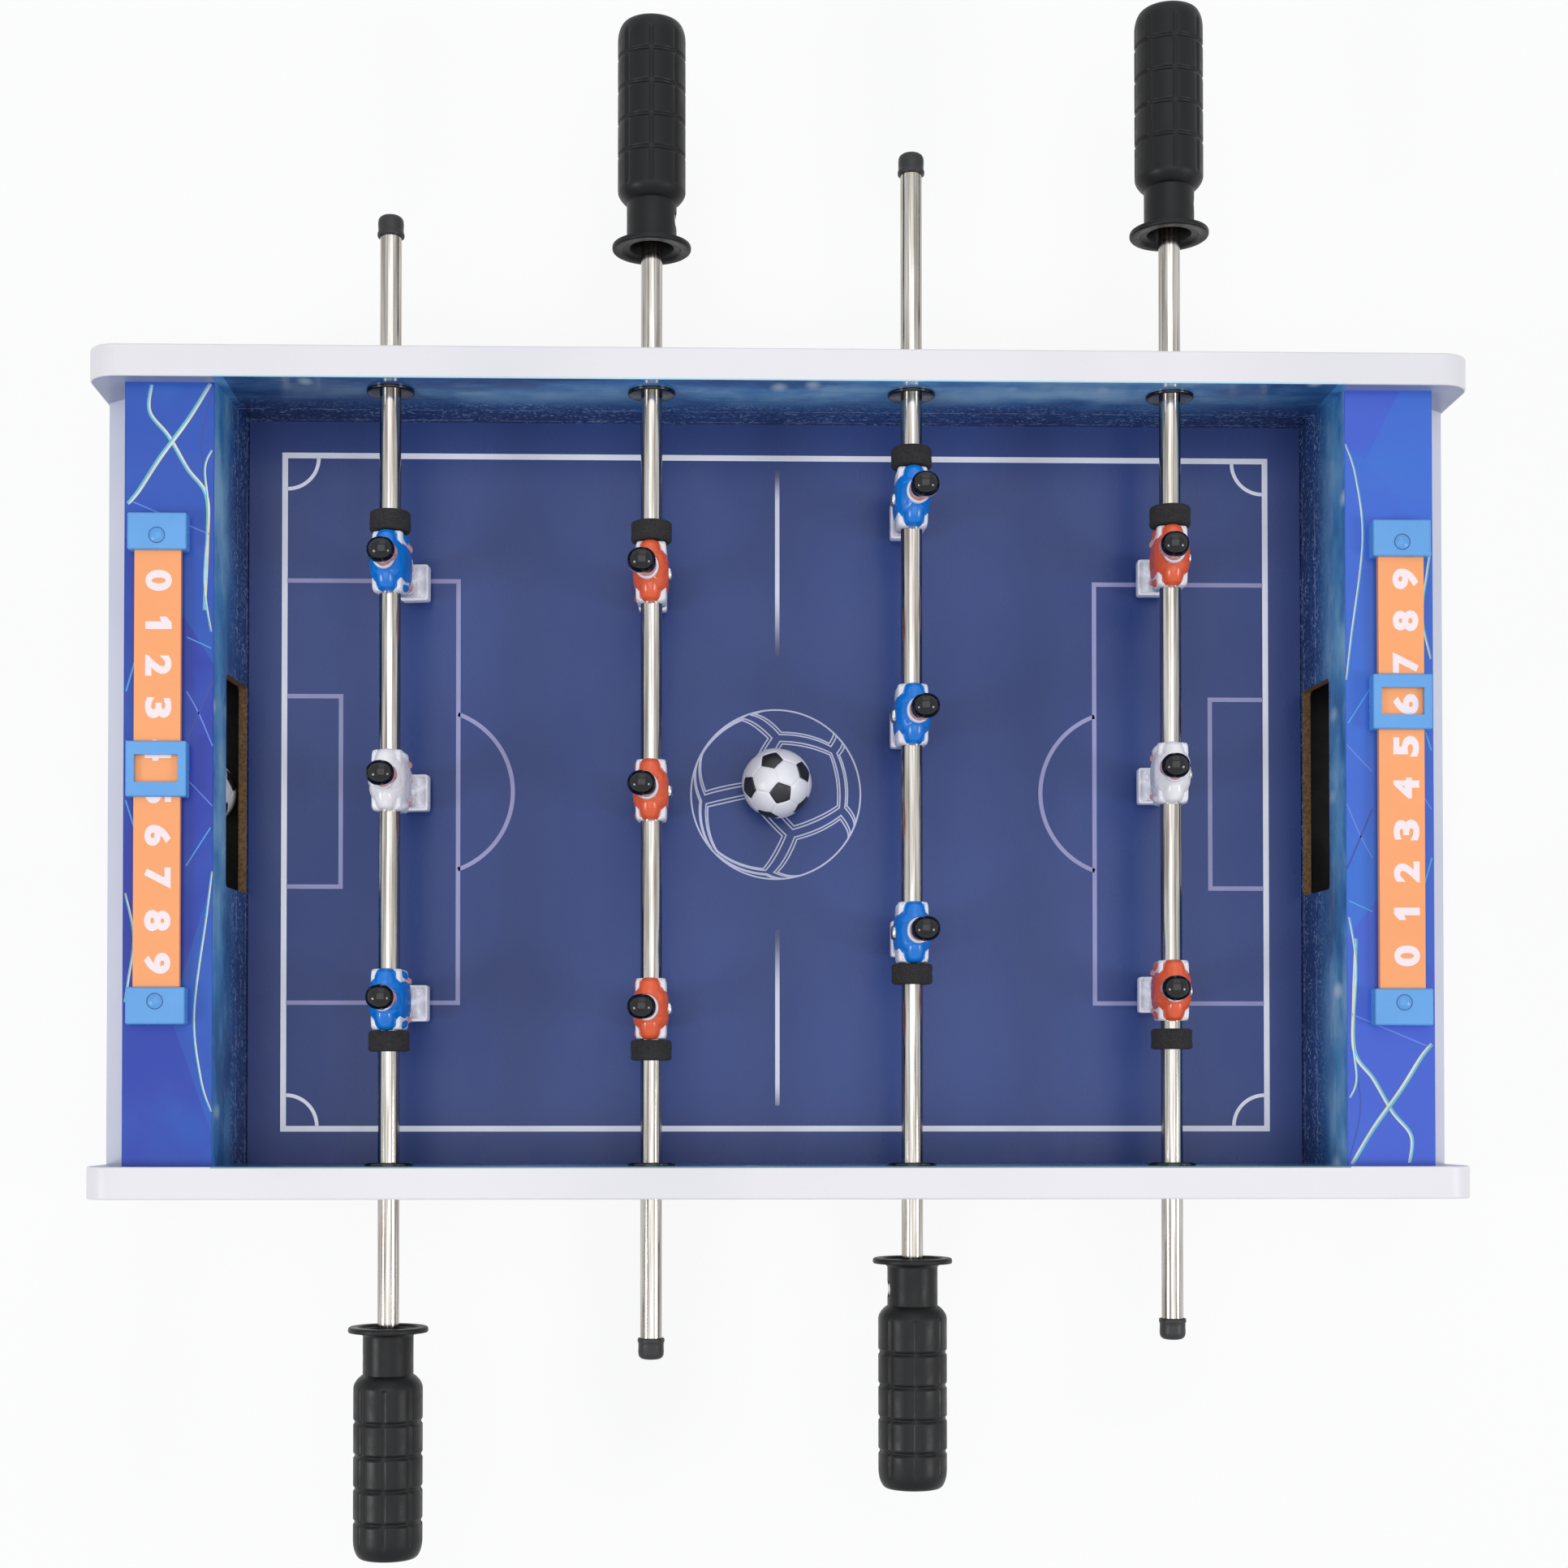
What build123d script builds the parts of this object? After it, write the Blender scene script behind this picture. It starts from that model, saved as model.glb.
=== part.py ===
from build123d import *
from math import radians, tan
import os

# Tabletop foosball: a shallow box crossed by four rods of players, with a slide scorer on each end.
# Millimetres, +Z up.  X runs from goal to goal, Y along the rods.
# The origin is the middle of the footprint, at the underside of the rubber feet.

# ---- cabinet ----
PANEL_OVERHANG = 1.2        # side panels past the end boards
PANEL_THICKNESS = 12.0
PANEL_HEIGHT = 84.0
PANEL_CORNER = 11.0         # radius of the panels' upper corners
PANEL_EDGE = 0.8            # softened long edges
FIELD_WIDTH = 288.0         # between the side panels
FIELD_LENGTH = 410.6        # between the goal walls, at the playing surface
FIELD_DEPTH = 56.0          # panel top down to the playing surface
FIELD_THICKNESS = 3.0
BASE_THICKNESS = 3.0
BATTEN_WIDTH = 12.0
FOOT_HEIGHT = 3.0
FOOT_RADIUS = 8.0
FOOT_INSET = (26.0, 16.0)   # foot centre in from the body's end and from the panel's inner face

# ---- goal ends ----
WALL_THICKNESS = 3.2        # goal wall and apron, thin fibreboard
WALL_LEAN = 4.2             # degrees that each goal wall leans outward
RAIL_WIDTH = 32.93
RAIL_THICKNESS = 12.0
RAIL_DEPTH = 7.4            # panel top down to the rail top
RAIL_EDGE = 0.6             # rounding of the rail's long upper edges
END_BOARD_THICKNESS = 12.0
LEDGE_DEPTH_INNER = 25.0    # panel top down to the end board's bevelled top
LEDGE_DEPTH_OUTER = 34.0
GOAL_WIDTH = 80.0
GOAL_HEIGHT = 29.6
GOAL_SILL = 1.6             # goal opening's lower edge above the playing surface
GOAL_CORNER = 2.0
RETURN_WIDTH = 64.0
RETURN_HEIGHT = 30.0
RETURN_CORNER = 8.0
TRAY_THICKNESS = 3.0
TRAY_CLEARANCE = 6.0        # under the tray
TRAY_LEG = 6.0

# ---- rods ----
ROD_SPACING = 97.0
ROD_DEPTH = 16.0            # panel top down to the rod axis
ROD_RADIUS = 4.0
ROD_WALL = 0.8
ROD_SHIFT = (-1.6, -4.9, 23.5, 2.0)        # each rod's middle player along Y as set
FEET_FORWARD = (8.0, -2.0, -1.0, -1.0)     # degrees that each rod's players stand out of plumb
FACING = (1, -1, 1, -1)                    # X direction that each rod's players face
HANDLE_SIDE = (-1, 1, -1, 1)               # Y direction of each rod's handle
HANDLE_GAP = 45.8           # panel to the handle's mouth, with the rod midway
CAP_GAP = 54.8              # panel to the end cap's end, with the rod midway
RUNNING_CLEARANCE = 0.05    # radial, rod in bushing and in bumper
SEAT_CLEARANCE = 0.05       # radial, parts fixed together
STOP_CLEARANCE = 0.3        # gap left between moving faces

BUSHING_RADIUS = 6.0
BUSHING_FLANGE_RADIUS = 8.9
BUSHING_FLANGE = 1.2
BUMPER_RADIUS = 7.6
BUMPER_LENGTH = 7.6
BUMPER_DRIFT = (0.0, 0.0, 0.0, 2.6)   # each rod's front bumper stands this far off its player
CAP_WALL = 1.0
CAP_LENGTH = 8.0
CAP_END = 1.4

# ---- handle, along its own axis from the mouth ----
HANDLE_LENGTH = 85.0
MOUTH_FLANGE_RADIUS = 14.7
MOUTH_FLANGE = 2.2
MOUTH_RADIUS = 8.2
MOUTH_DEPTH = 8.0
NECK_RADIUS = 9.3
NECK_LENGTH = 18.0          # mouth face to the grip's shoulder
GRIP_RADIUS = 12.7
GRIP_TIP_RADIUS = 9.6
SHOULDER_LENGTH = 4.5
DOME_LENGTH = 7.0
GROOVE_PITCH = 12.5
GROOVE_WIDTH = 1.4
GROOVE_DEPTH = 0.9
GROOVE_ROWS = 4
ROD_END_MARGIN = 24.0       # grip end back to the rod's end inside it
HANDLE_SCREW_MARGIN = 0.8   # open mouth's floor to the edge of the screw's head
HANDLE_SCREW_RECESS = 2.6   # screw seat below the neck's surface

# ---- players, about the rod axis, facing +X ----
PLAYER_SPACING = 81.0
PLAYER_WIDTH = 22.6
CHEST_DEPTH = 11.4
CHEST_TOP = 7.5
CHEST_BOTTOM = -9.0
SHOULDER_TOP = 11.5
SHOULDER_WIDTH = 18.0
SHOULDER_DEPTH = 9.0
HEAD_RADIUS = 5.1
HEAD_CENTRE = (3.0, 22.0)   # forward, up
JAW_RADIUS = 4.0
JAW_DROP = 4.0              # jaw below the head's centre
NECK_PIECE_RADIUS = 2.6
LEG_DEPTH = 6.0
LEG_WIDTH = 5.0
LEG_GAP = 1.6
SHOE_BACK = -4.4
SHOE_FRONT = 6.5
SHOE_WIDTH = 14.0
SHOE_HEIGHT = 5.0
FOOT_REACH = 36.0           # rod axis to the sole
SCREW_RADIUS = 1.3
SCREW_HEAD_RADIUS = 2.9
SCREW_HEAD = 2.1
SCREW_BITE = 2.0            # screw tip past the rod's outer wall

# ---- balls ----
BALL_RADIUS = 13.5
BALL_PLACE = (-0.8, 1.8)
BALL_GAP = 0.3

# ---- scorers ----
SCORER_OFFSET = 3.27        # bar's middle outward of the rail's middle
SCORER_Y = 1.2
BAR_WIDTH = 16.9
BAR_THICKNESS = 2.4
BAR_LIFT = 1.4              # under the bar
BAR_VISIBLE = 159.7         # between the clips
BAR_TUCK = 2.2              # bar end inside each clip
CLIP_WALL = 2.35            # beside the bar
CLIP_LENGTH = 13.6
CLIP_HEIGHT = 5.6
PLUG_RADIUS = 2.7
PLUG_INSET = 5.2            # plug's middle in from the clip's inner face
PLUG_DEPTH = 8.0
PLUG_DOME = 0.9
SLIDER_WALL = 2.3           # beside the bar, past the running gap
SLIDER_LENGTH = 20.4
SLIDER_HEIGHT = 5.4
SLIDER_LIP = 1.5            # hooks under the bar's edges
WINDOW_WIDTH = 15.9
WINDOW_LENGTH = 10.1
WINDOW_OFFSET = 0.1
SLIDER_REST = (0.9, 27.3)   # left scorer between 4 and 5, right scorer at 6

# ---- panel screws ----
CABINET_SCREW_RADIUS = 1.6
CABINET_SCREW_LENGTH = 32.0
CABINET_SCREW_HEAD_RADIUS = 3.4
CABINET_SCREW_HEAD = 1.8
CABINET_SCREW_RECESS = 0.2

# ---- levels and planes that follow ----
PANEL_TOP = FOOT_HEIGHT + PANEL_HEIGHT
FIELD_TOP = PANEL_TOP - FIELD_DEPTH
BASE_TOP = FOOT_HEIGHT + BASE_THICKNESS
RAIL_TOP = PANEL_TOP - RAIL_DEPTH
RAIL_UNDER = RAIL_TOP - RAIL_THICKNESS
ROD_Z = PANEL_TOP - ROD_DEPTH
TRAY_UNDER = BASE_TOP + TRAY_CLEARANCE
TRAY_TOP = TRAY_UNDER + TRAY_THICKNESS
INNER_Y = FIELD_WIDTH / 2
OUTER_Y = INNER_Y + PANEL_THICKNESS
WALL_X = FIELD_LENGTH / 2
WALL_SLOPE = tan(radians(WALL_LEAN))
RAIL_INNER_X = WALL_X + WALL_SLOPE * (RAIL_TOP - FIELD_TOP)
RAIL_OUTER_X = RAIL_INNER_X + RAIL_WIDTH
END_OUTER_X = RAIL_OUTER_X + END_BOARD_THICKNESS
BODY_LENGTH = 2 * (END_OUTER_X + PANEL_OVERHANG)
GRIP_REACH = OUTER_Y + HANDLE_GAP + HANDLE_LENGTH
CAP_REACH = OUTER_Y + CAP_GAP
CAP_RADIUS = ROD_RADIUS + CAP_WALL
CLIP_WIDTH = BAR_WIDTH + 2 * CLIP_WALL
SLIDER_WIDTH = BAR_WIDTH + 2 * (STOP_CLEARANCE + SLIDER_WALL)
SCORER_X = (RAIL_INNER_X + RAIL_OUTER_X) / 2 + SCORER_OFFSET
ROD_X = [(k - 1.5) * ROD_SPACING for k in range(4)]
SIDES = (("left", -1), ("right", 1))

os.makedirs("parts", exist_ok=True)


def save(name, *solids):
    """Write one node: a single solid, or several separate ones."""
    shape = solids[0] if len(solids) == 1 else Compound(children=list(solids))
    export_step(shape, f"parts/{name}.step")


def block(x0, x1, y0, y1, z0, z1):
    """A box between two opposite corners, given in any order along X."""
    size = (abs(x1 - x0), abs(y1 - y0), abs(z1 - z0))
    return Pos((x0 + x1) / 2, (y0 + y1) / 2, (z0 + z1) / 2) * Box(*size)


def along_y(radius, y0, y1):
    """A cylinder on the Y axis between two stations."""
    return Pos(0, (y0 + y1) / 2, 0) * Rot(-90, 0, 0) * Cylinder(radius, abs(y1 - y0))


def along_x(radius, x0, x1):
    """A cylinder on the X axis between two stations."""
    return Pos((x0 + x1) / 2, 0, 0) * Rot(0, 90, 0) * Cylinder(radius, abs(x1 - x0))


def only_solid(shape):
    """The one solid that a boolean leaves."""
    return shape.solids()[0]


# ------------------------------------------------------------------ cabinet

def cabinet_screw_sites():
    """(x, z) of the screws that run through each side panel."""
    rail_middle = (RAIL_INNER_X + RAIL_OUTER_X) / 2
    board_middle = (RAIL_OUTER_X + END_OUTER_X) / 2
    ledge = PANEL_TOP - LEDGE_DEPTH_OUTER
    heights = (BASE_TOP + 0.25 * (ledge - BASE_TOP), BASE_TOP + 0.75 * (ledge - BASE_TOP))
    sites = [(s * rail_middle, (RAIL_TOP + RAIL_UNDER) / 2) for _, s in SIDES]
    sites += [(s * board_middle, z) for _, s in SIDES for z in heights]
    return sites


def cabinet_screw(side, slack=0.0):
    """One flat-head screw from the outer face of the panel on the given side of Y."""
    head_face = OUTER_Y - CABINET_SCREW_RECESS
    shank = along_y(CABINET_SCREW_RADIUS + slack, head_face, head_face - CABINET_SCREW_LENGTH)
    reach = OUTER_Y if slack else head_face
    head = along_y(CABINET_SCREW_HEAD_RADIUS + slack, reach, head_face - CABINET_SCREW_HEAD)
    return Rot(0, 0, 0 if side > 0 else 180) * (shank + head)


def cut_cabinet_screws(shape, side):
    for x, z in cabinet_screw_sites():
        shape -= Pos(x, 0, z) * cabinet_screw(side, SEAT_CLEARANCE)
    return shape


def side_panel(side):
    panel = block(-BODY_LENGTH / 2, BODY_LENGTH / 2, INNER_Y, OUTER_Y, FOOT_HEIGHT, PANEL_TOP)
    corners = panel.edges().filter_by(Axis.Y).group_by(Axis.Z)[-1]
    panel = fillet(corners, PANEL_CORNER)
    rim = panel.faces().filter_by(Axis.Y).edges()
    panel = fillet(rim, PANEL_EDGE)
    for x in ROD_X:
        panel -= Pos(x, 0, ROD_Z) * along_y(BUSHING_RADIUS + SEAT_CLEARANCE, INNER_Y, OUTER_Y)
    panel = Rot(0, 0, 0 if side > 0 else 180) * panel
    return only_solid(cut_cabinet_screws(panel, side))


def goal_cut(x0, x1):
    low = FIELD_TOP + GOAL_SILL
    cut = block(x0, x1, -GOAL_WIDTH / 2, GOAL_WIDTH / 2, low, low + GOAL_HEIGHT)
    return fillet(cut.edges().filter_by(Axis.X), GOAL_CORNER)


def return_cut(x0, x1):
    cut = block(x0, x1, -RETURN_WIDTH / 2, RETURN_WIDTH / 2, TRAY_TOP, TRAY_TOP + RETURN_HEIGHT)
    upper = cut.edges().filter_by(Axis.X).group_by(Axis.Z)[-1]
    return fillet(upper, RETURN_CORNER)


def wall_face(z):
    """X of the leaning goal wall's inner face at a height."""
    return WALL_X + WALL_SLOPE * (z - FIELD_TOP)


def leaning_board(s, low, high, outer_low, outer_high):
    """A board across the cabinet with its inner face in the goal wall's plane, between two heights."""
    inner_low, inner_high = (wall_face(low), low), (wall_face(high), high)
    outline = Polyline(inner_low, (outer_low, low), (outer_high, high), inner_high, close=True)
    board = extrude(Plane.XZ * make_face(outline), INNER_Y, both=True)
    return Rot(0, 0, 180) * board if s < 0 else board


def end_wall(s):
    outer = [wall_face(z) + WALL_THICKNESS for z in (BASE_TOP, RAIL_UNDER)]
    wall = leaning_board(s, BASE_TOP, RAIL_UNDER, *outer)
    return only_solid(wall - goal_cut(s * (WALL_X - 1), s * (outer[1] + 1)))


def rail_apron(s):
    inner = RAIL_OUTER_X - WALL_THICKNESS
    apron = block(s * inner, s * RAIL_OUTER_X, -INNER_Y, INNER_Y, BASE_TOP, RAIL_UNDER)
    return only_solid(apron - return_cut(s * (inner - 1), s * (RAIL_OUTER_X + 1)))


def top_rail(s):
    rail = leaning_board(s, RAIL_UNDER, RAIL_TOP, RAIL_OUTER_X, RAIL_OUTER_X)
    rail = fillet(rail.edges().filter_by(Axis.Y).group_by(Axis.Z)[-1], RAIL_EDGE)
    for end in (-1, 1):
        y = SCORER_Y + end * (BAR_VISIBLE / 2 + PLUG_INSET)
        top = RAIL_TOP + CLIP_HEIGHT
        hole = Cylinder(PLUG_RADIUS + SEAT_CLEARANCE, PLUG_DEPTH)
        rail -= Pos(s * SCORER_X, y, top - PLUG_DEPTH / 2) * hole
    for side in (-1, 1):
        rail = cut_cabinet_screws(rail, side)
    return only_solid(rail)


def end_board(s):
    x0, x1 = RAIL_OUTER_X, END_OUTER_X
    low, inner, outer = FOOT_HEIGHT, PANEL_TOP - LEDGE_DEPTH_INNER, PANEL_TOP - LEDGE_DEPTH_OUTER
    outline = Polyline((x0, low), (x1, low), (x1, outer), (x0, inner), close=True)
    board = extrude(Plane.XZ * make_face(outline), INNER_Y, both=True)
    if s < 0:
        board = Rot(0, 0, 180) * board
    board -= return_cut(s * (x0 - 1), s * (x1 + 1))
    for side in (-1, 1):
        board = cut_cabinet_screws(board, side)
    return only_solid(board)


def goal_tray(s):
    inner, outer = wall_face(TRAY_TOP) + WALL_THICKNESS, RAIL_OUTER_X - WALL_THICKNESS
    tray = block(s * inner, s * outer, -INNER_Y, INNER_Y, TRAY_UNDER, TRAY_TOP)
    for side in (-1, 1):
        near, far = side * INNER_Y, side * (INNER_Y - TRAY_LEG)
        tray += block(s * inner, s * outer, near, far, BASE_TOP, TRAY_UNDER)
    return only_solid(tray)


def field_battens():
    under = FIELD_TOP - FIELD_THICKNESS
    ends = wall_face(BASE_TOP)
    long_pair = [block(-ends, ends, side * INNER_Y, side * (INNER_Y - BATTEN_WIDTH), BASE_TOP, under)
                 for side in (-1, 1)]
    inner = INNER_Y - BATTEN_WIDTH
    middle = block(-BATTEN_WIDTH / 2, BATTEN_WIDTH / 2, -inner, inner, BASE_TOP, under)
    return long_pair + [middle]


def rubber_feet():
    x = BODY_LENGTH / 2 - FOOT_INSET[0]
    y = INNER_Y - FOOT_INSET[1]
    foot = Cylinder(FOOT_RADIUS, FOOT_HEIGHT)
    foot = fillet(foot.edges().group_by(Axis.Z)[0], FOOT_HEIGHT / 6)
    return [Pos(sx * x, sy * y, FOOT_HEIGHT / 2) * foot for sx in (-1, 1) for sy in (-1, 1)]


def bushing():
    """Flanged sleeve: the flange lies on the panel's inner face, towards -Y."""
    sleeve = along_y(BUSHING_RADIUS, INNER_Y, OUTER_Y)
    flange = along_y(BUSHING_FLANGE_RADIUS, INNER_Y - BUSHING_FLANGE, INNER_Y)
    flange = fillet(flange.edges().group_by(Axis.Y)[0], BUSHING_FLANGE * 0.6)
    bore = along_y(ROD_RADIUS + RUNNING_CLEARANCE, INNER_Y - 2 * BUSHING_FLANGE, OUTER_Y + 1)
    return only_solid(sleeve + flange - bore)


def make_cabinet():
    save("side_panel_back", side_panel(1))
    save("side_panel_front", side_panel(-1))
    under = FIELD_TOP - FIELD_THICKNESS
    end = wall_face(under)
    save("playfield_board", block(-end, end, -INNER_Y, INNER_Y, under, FIELD_TOP))
    save("base_board", block(-RAIL_OUTER_X, RAIL_OUTER_X, -INNER_Y, INNER_Y, FOOT_HEIGHT, BASE_TOP))
    save("field_battens", *field_battens())
    for name, s in SIDES:
        save(f"end_wall_{name}", end_wall(s))
        save(f"rail_apron_{name}", rail_apron(s))
        save(f"top_rail_{name}", top_rail(s))
        save(f"end_board_{name}", end_board(s))
        save(f"goal_tray_{name}", goal_tray(s))
    save("rubber_feet", *rubber_feet())
    sleeve = bushing()
    save("rod_bushings_back", *[Pos(x, 0, ROD_Z) * sleeve for x in ROD_X])
    save("rod_bushings_front", *[Pos(x, 0, ROD_Z) * Rot(0, 0, 180) * sleeve for x in ROD_X])
    save("cabinet_screws", *[Pos(x, 0, z) * cabinet_screw(side)
                             for side in (-1, 1) for x, z in cabinet_screw_sites()])


# ------------------------------------------------------------------ scorers

def bar_section(grow, y0, y1):
    """The score bar's section over a run of Y, grown by a clearance."""
    low = RAIL_TOP + BAR_LIFT
    half = BAR_WIDTH / 2 + grow
    return block(-half, half, y0, y1, low - grow, low + BAR_THICKNESS + grow)


def clip(end):
    """The end clip that holds the bar, on the given end of Y, about the scorer's middle."""
    inner = BAR_VISIBLE / 2
    half = CLIP_WIDTH / 2
    body = block(-half, half, inner, inner + CLIP_LENGTH, RAIL_TOP, RAIL_TOP + CLIP_HEIGHT)
    body = fillet(body.edges().filter_by(Axis.Z) + body.edges().group_by(Axis.Z)[-1], 0.8)
    body -= bar_section(SEAT_CLEARANCE, inner - 1, inner + BAR_TUCK + SEAT_CLEARANCE)
    plug_y = inner + PLUG_INSET
    body -= Pos(0, plug_y, RAIL_TOP) * Cylinder(PLUG_RADIUS + SEAT_CLEARANCE, 4 * CLIP_HEIGHT)
    return Rot(0, 0, 0 if end > 0 else 180) * only_solid(body)


def plug():
    """A push-in plug with a domed head, its head's rim at the clip's top."""
    dome_radius = (PLUG_RADIUS ** 2 + PLUG_DOME ** 2) / (2 * PLUG_DOME)
    pin = Pos(0, 0, -PLUG_DEPTH / 2) * Cylinder(PLUG_RADIUS, PLUG_DEPTH)
    cap = Pos(0, 0, PLUG_DOME - dome_radius) * Sphere(dome_radius)
    cap &= Pos(0, 0, PLUG_DOME / 2) * Cylinder(PLUG_RADIUS, PLUG_DOME)
    return only_solid(pin + cap)


def slider():
    """The marker that rides on the bar, open below between two hooks."""
    low = RAIL_TOP + STOP_CLEARANCE
    half_x, half_y = SLIDER_WIDTH / 2, SLIDER_LENGTH / 2
    body = block(-half_x, half_x, -half_y, half_y, low, low + SLIDER_HEIGHT)
    body = fillet(body.edges().filter_by(Axis.Z) + body.edges().group_by(Axis.Z)[-1], 0.7)
    body -= bar_section(STOP_CLEARANCE, -half_y - 1, half_y + 1)
    gap = BAR_WIDTH / 2 - SLIDER_LIP
    body -= block(-gap, gap, -half_y - 1, half_y + 1, low - 1, RAIL_TOP + BAR_LIFT)
    window = block(-WINDOW_WIDTH / 2, WINDOW_WIDTH / 2, -WINDOW_LENGTH / 2, WINDOW_LENGTH / 2,
                   RAIL_TOP + BAR_LIFT, RAIL_TOP + 2 * SLIDER_HEIGHT)
    return only_solid(body - Pos(0, WINDOW_OFFSET, 0) * window)


def make_scorers():
    clips = []
    plugs = []
    half_bar = BAR_VISIBLE / 2 + BAR_TUCK
    for (name, s), rest in zip(SIDES, SLIDER_REST):
        at = Pos(s * SCORER_X, SCORER_Y, 0)
        save(f"score_bar_{name}", at * bar_section(0, -half_bar, half_bar))
        save(f"score_slider_{name}", Pos(s * SCORER_X, rest, 0) * slider())
        for end in (-1, 1):
            clips.append(at * clip(end))
            y = end * (BAR_VISIBLE / 2 + PLUG_INSET)
            plugs.append(at * Pos(0, y, RAIL_TOP + CLIP_HEIGHT) * plug())
    save("score_clips", *clips)
    save("clip_plugs", *plugs)


# ------------------------------------------------------------------ rods

def player():
    """One footballer on the rod axis, facing +X."""
    half = PLAYER_WIDTH / 2
    chest = block(-CHEST_DEPTH / 2, CHEST_DEPTH / 2, -half, half, CHEST_BOTTOM, CHEST_TOP)
    chest = fillet(chest.edges().filter_by(Axis.Y), 2.5)
    shoulders = block(-SHOULDER_DEPTH / 2, SHOULDER_DEPTH / 2, -SHOULDER_WIDTH / 2, SHOULDER_WIDTH / 2,
                      0, SHOULDER_TOP)
    shoulders = fillet(shoulders.edges().group_by(Axis.Z)[-1], 2.4)
    forward, up = HEAD_CENTRE
    neck = Pos(forward / 2, 0, (CHEST_TOP + up) / 2) * Cylinder(NECK_PIECE_RADIUS, up - CHEST_TOP)
    head = Pos(forward, 0, up) * Sphere(HEAD_RADIUS) + Pos(forward, 0, up - JAW_DROP) * Sphere(JAW_RADIUS)
    body = chest + shoulders + neck + head
    shoe_top = SHOE_HEIGHT - FOOT_REACH
    for side in (-1, 1):
        near, far = side * LEG_GAP / 2, side * (LEG_GAP / 2 + LEG_WIDTH)
        leg = block(-LEG_DEPTH / 2, LEG_DEPTH / 2, near, far, shoe_top, CHEST_BOTTOM)
        body += fillet(leg.edges().filter_by(Axis.Z), 1.2)
    shoe = block(SHOE_BACK, SHOE_FRONT, -SHOE_WIDTH / 2, SHOE_WIDTH / 2, -FOOT_REACH, shoe_top)
    body += fillet(shoe.edges().filter_by(Axis.Z), 1.2)
    body -= along_y(ROD_RADIUS + SEAT_CLEARANCE, -half - 1, half + 1)
    body -= along_x(SCREW_RADIUS + SEAT_CLEARANCE, -CHEST_DEPTH, 0)
    return only_solid(body)


def back_screw(seat):
    """A pan-head screw in the rod's back, its head seated at the given distance behind the axis."""
    shank = along_x(SCREW_RADIUS, -seat, -(ROD_RADIUS - SCREW_BITE))
    head = along_x(SCREW_HEAD_RADIUS, -seat - SCREW_HEAD, -seat)
    head = fillet(head.edges().group_by(Axis.X)[0], SCREW_HEAD * 0.6)
    return only_solid(shank + head)


def handle():
    """Hollow-mouthed grip on the Y axis, its mouth at 0 and its domed end at HANDLE_LENGTH."""
    grip_start = NECK_LENGTH + SHOULDER_LENGTH
    dome_start = HANDLE_LENGTH - DOME_LENGTH
    profile = Polyline(
        (0, 0), (MOUTH_FLANGE_RADIUS, 0), (MOUTH_FLANGE_RADIUS, MOUTH_FLANGE), (NECK_RADIUS, MOUTH_FLANGE),
        (NECK_RADIUS, NECK_LENGTH), (GRIP_RADIUS, grip_start), (GRIP_RADIUS, dome_start))
    dome = Spline((GRIP_RADIUS, dome_start), (GRIP_TIP_RADIUS, HANDLE_LENGTH - DOME_LENGTH / 4),
                  (0, HANDLE_LENGTH), tangents=((0, 1), (-1, 0)))
    outline = profile + dome + Line((0, HANDLE_LENGTH), (0, 0))
    body = revolve(make_face(outline), Axis.Y)
    body = fillet(body.edges().filter_by(GeomType.CIRCLE).group_by(Axis.Y)[0], MOUTH_FLANGE * 0.4)
    body -= along_y(MOUTH_RADIUS, -1, MOUTH_DEPTH)
    rod_end = HANDLE_LENGTH - ROD_END_MARGIN
    body -= along_y(ROD_RADIUS + SEAT_CLEARANCE, 0, rod_end + SEAT_CLEARANCE)
    pad_middle = (grip_start + dome_start) / 2
    for row in range(GROOVE_ROWS):
        y = pad_middle + (row - (GROOVE_ROWS - 1) / 2) * GROOVE_PITCH
        ring = along_y(2 * GRIP_RADIUS, y - GROOVE_WIDTH / 2, y + GROOVE_WIDTH / 2)
        ring -= along_y(GRIP_RADIUS - GROOVE_DEPTH, y - GROOVE_WIDTH, y + GROOVE_WIDTH)
        body -= ring
    seat = HANDLE_SCREW_RECESS - NECK_RADIUS
    screw_hole = along_x(SCREW_RADIUS + SEAT_CLEARANCE, -NECK_RADIUS, 0)
    screw_hole += along_x(SCREW_HEAD_RADIUS + SEAT_CLEARANCE, -2 * NECK_RADIUS, seat)
    return only_solid(body - Pos(0, handle_screw_y(), 0) * screw_hole)


def handle_screw_y():
    """The handle screw's place past the open mouth, where the socket holds the rod."""
    return MOUTH_DEPTH + SCREW_HEAD_RADIUS + HANDLE_SCREW_MARGIN


def end_cap():
    """Rubber cap on the Y axis, its closed end at 0 and its mouth at CAP_LENGTH."""
    cap = along_y(CAP_RADIUS, 0, CAP_LENGTH)
    cap = fillet(cap.edges().group_by(Axis.Y)[0], CAP_RADIUS * 0.3)
    return only_solid(cap - along_y(ROD_RADIUS + SEAT_CLEARANCE, CAP_END, CAP_LENGTH + 1))


def bumper():
    ring = along_y(BUMPER_RADIUS, 0, BUMPER_LENGTH)
    ring = fillet(ring.edges(), 0.5)
    return only_solid(ring - along_y(ROD_RADIUS + RUNNING_CLEARANCE, -1, BUMPER_LENGTH + 1))


def tube():
    """The rod's tube, with the handle towards +Y, drilled for its four screws."""
    y0 = -CAP_REACH + CAP_END
    y1 = GRIP_REACH - ROD_END_MARGIN
    rod = along_y(ROD_RADIUS, y0, y1) - along_y(ROD_RADIUS - ROD_WALL, y0 - 1, y1 + 1)
    for y in screw_stations():
        rod -= Pos(0, y, 0) * along_x(SCREW_RADIUS + SEAT_CLEARANCE, -2 * ROD_RADIUS, 0)
    return only_solid(rod)


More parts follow.
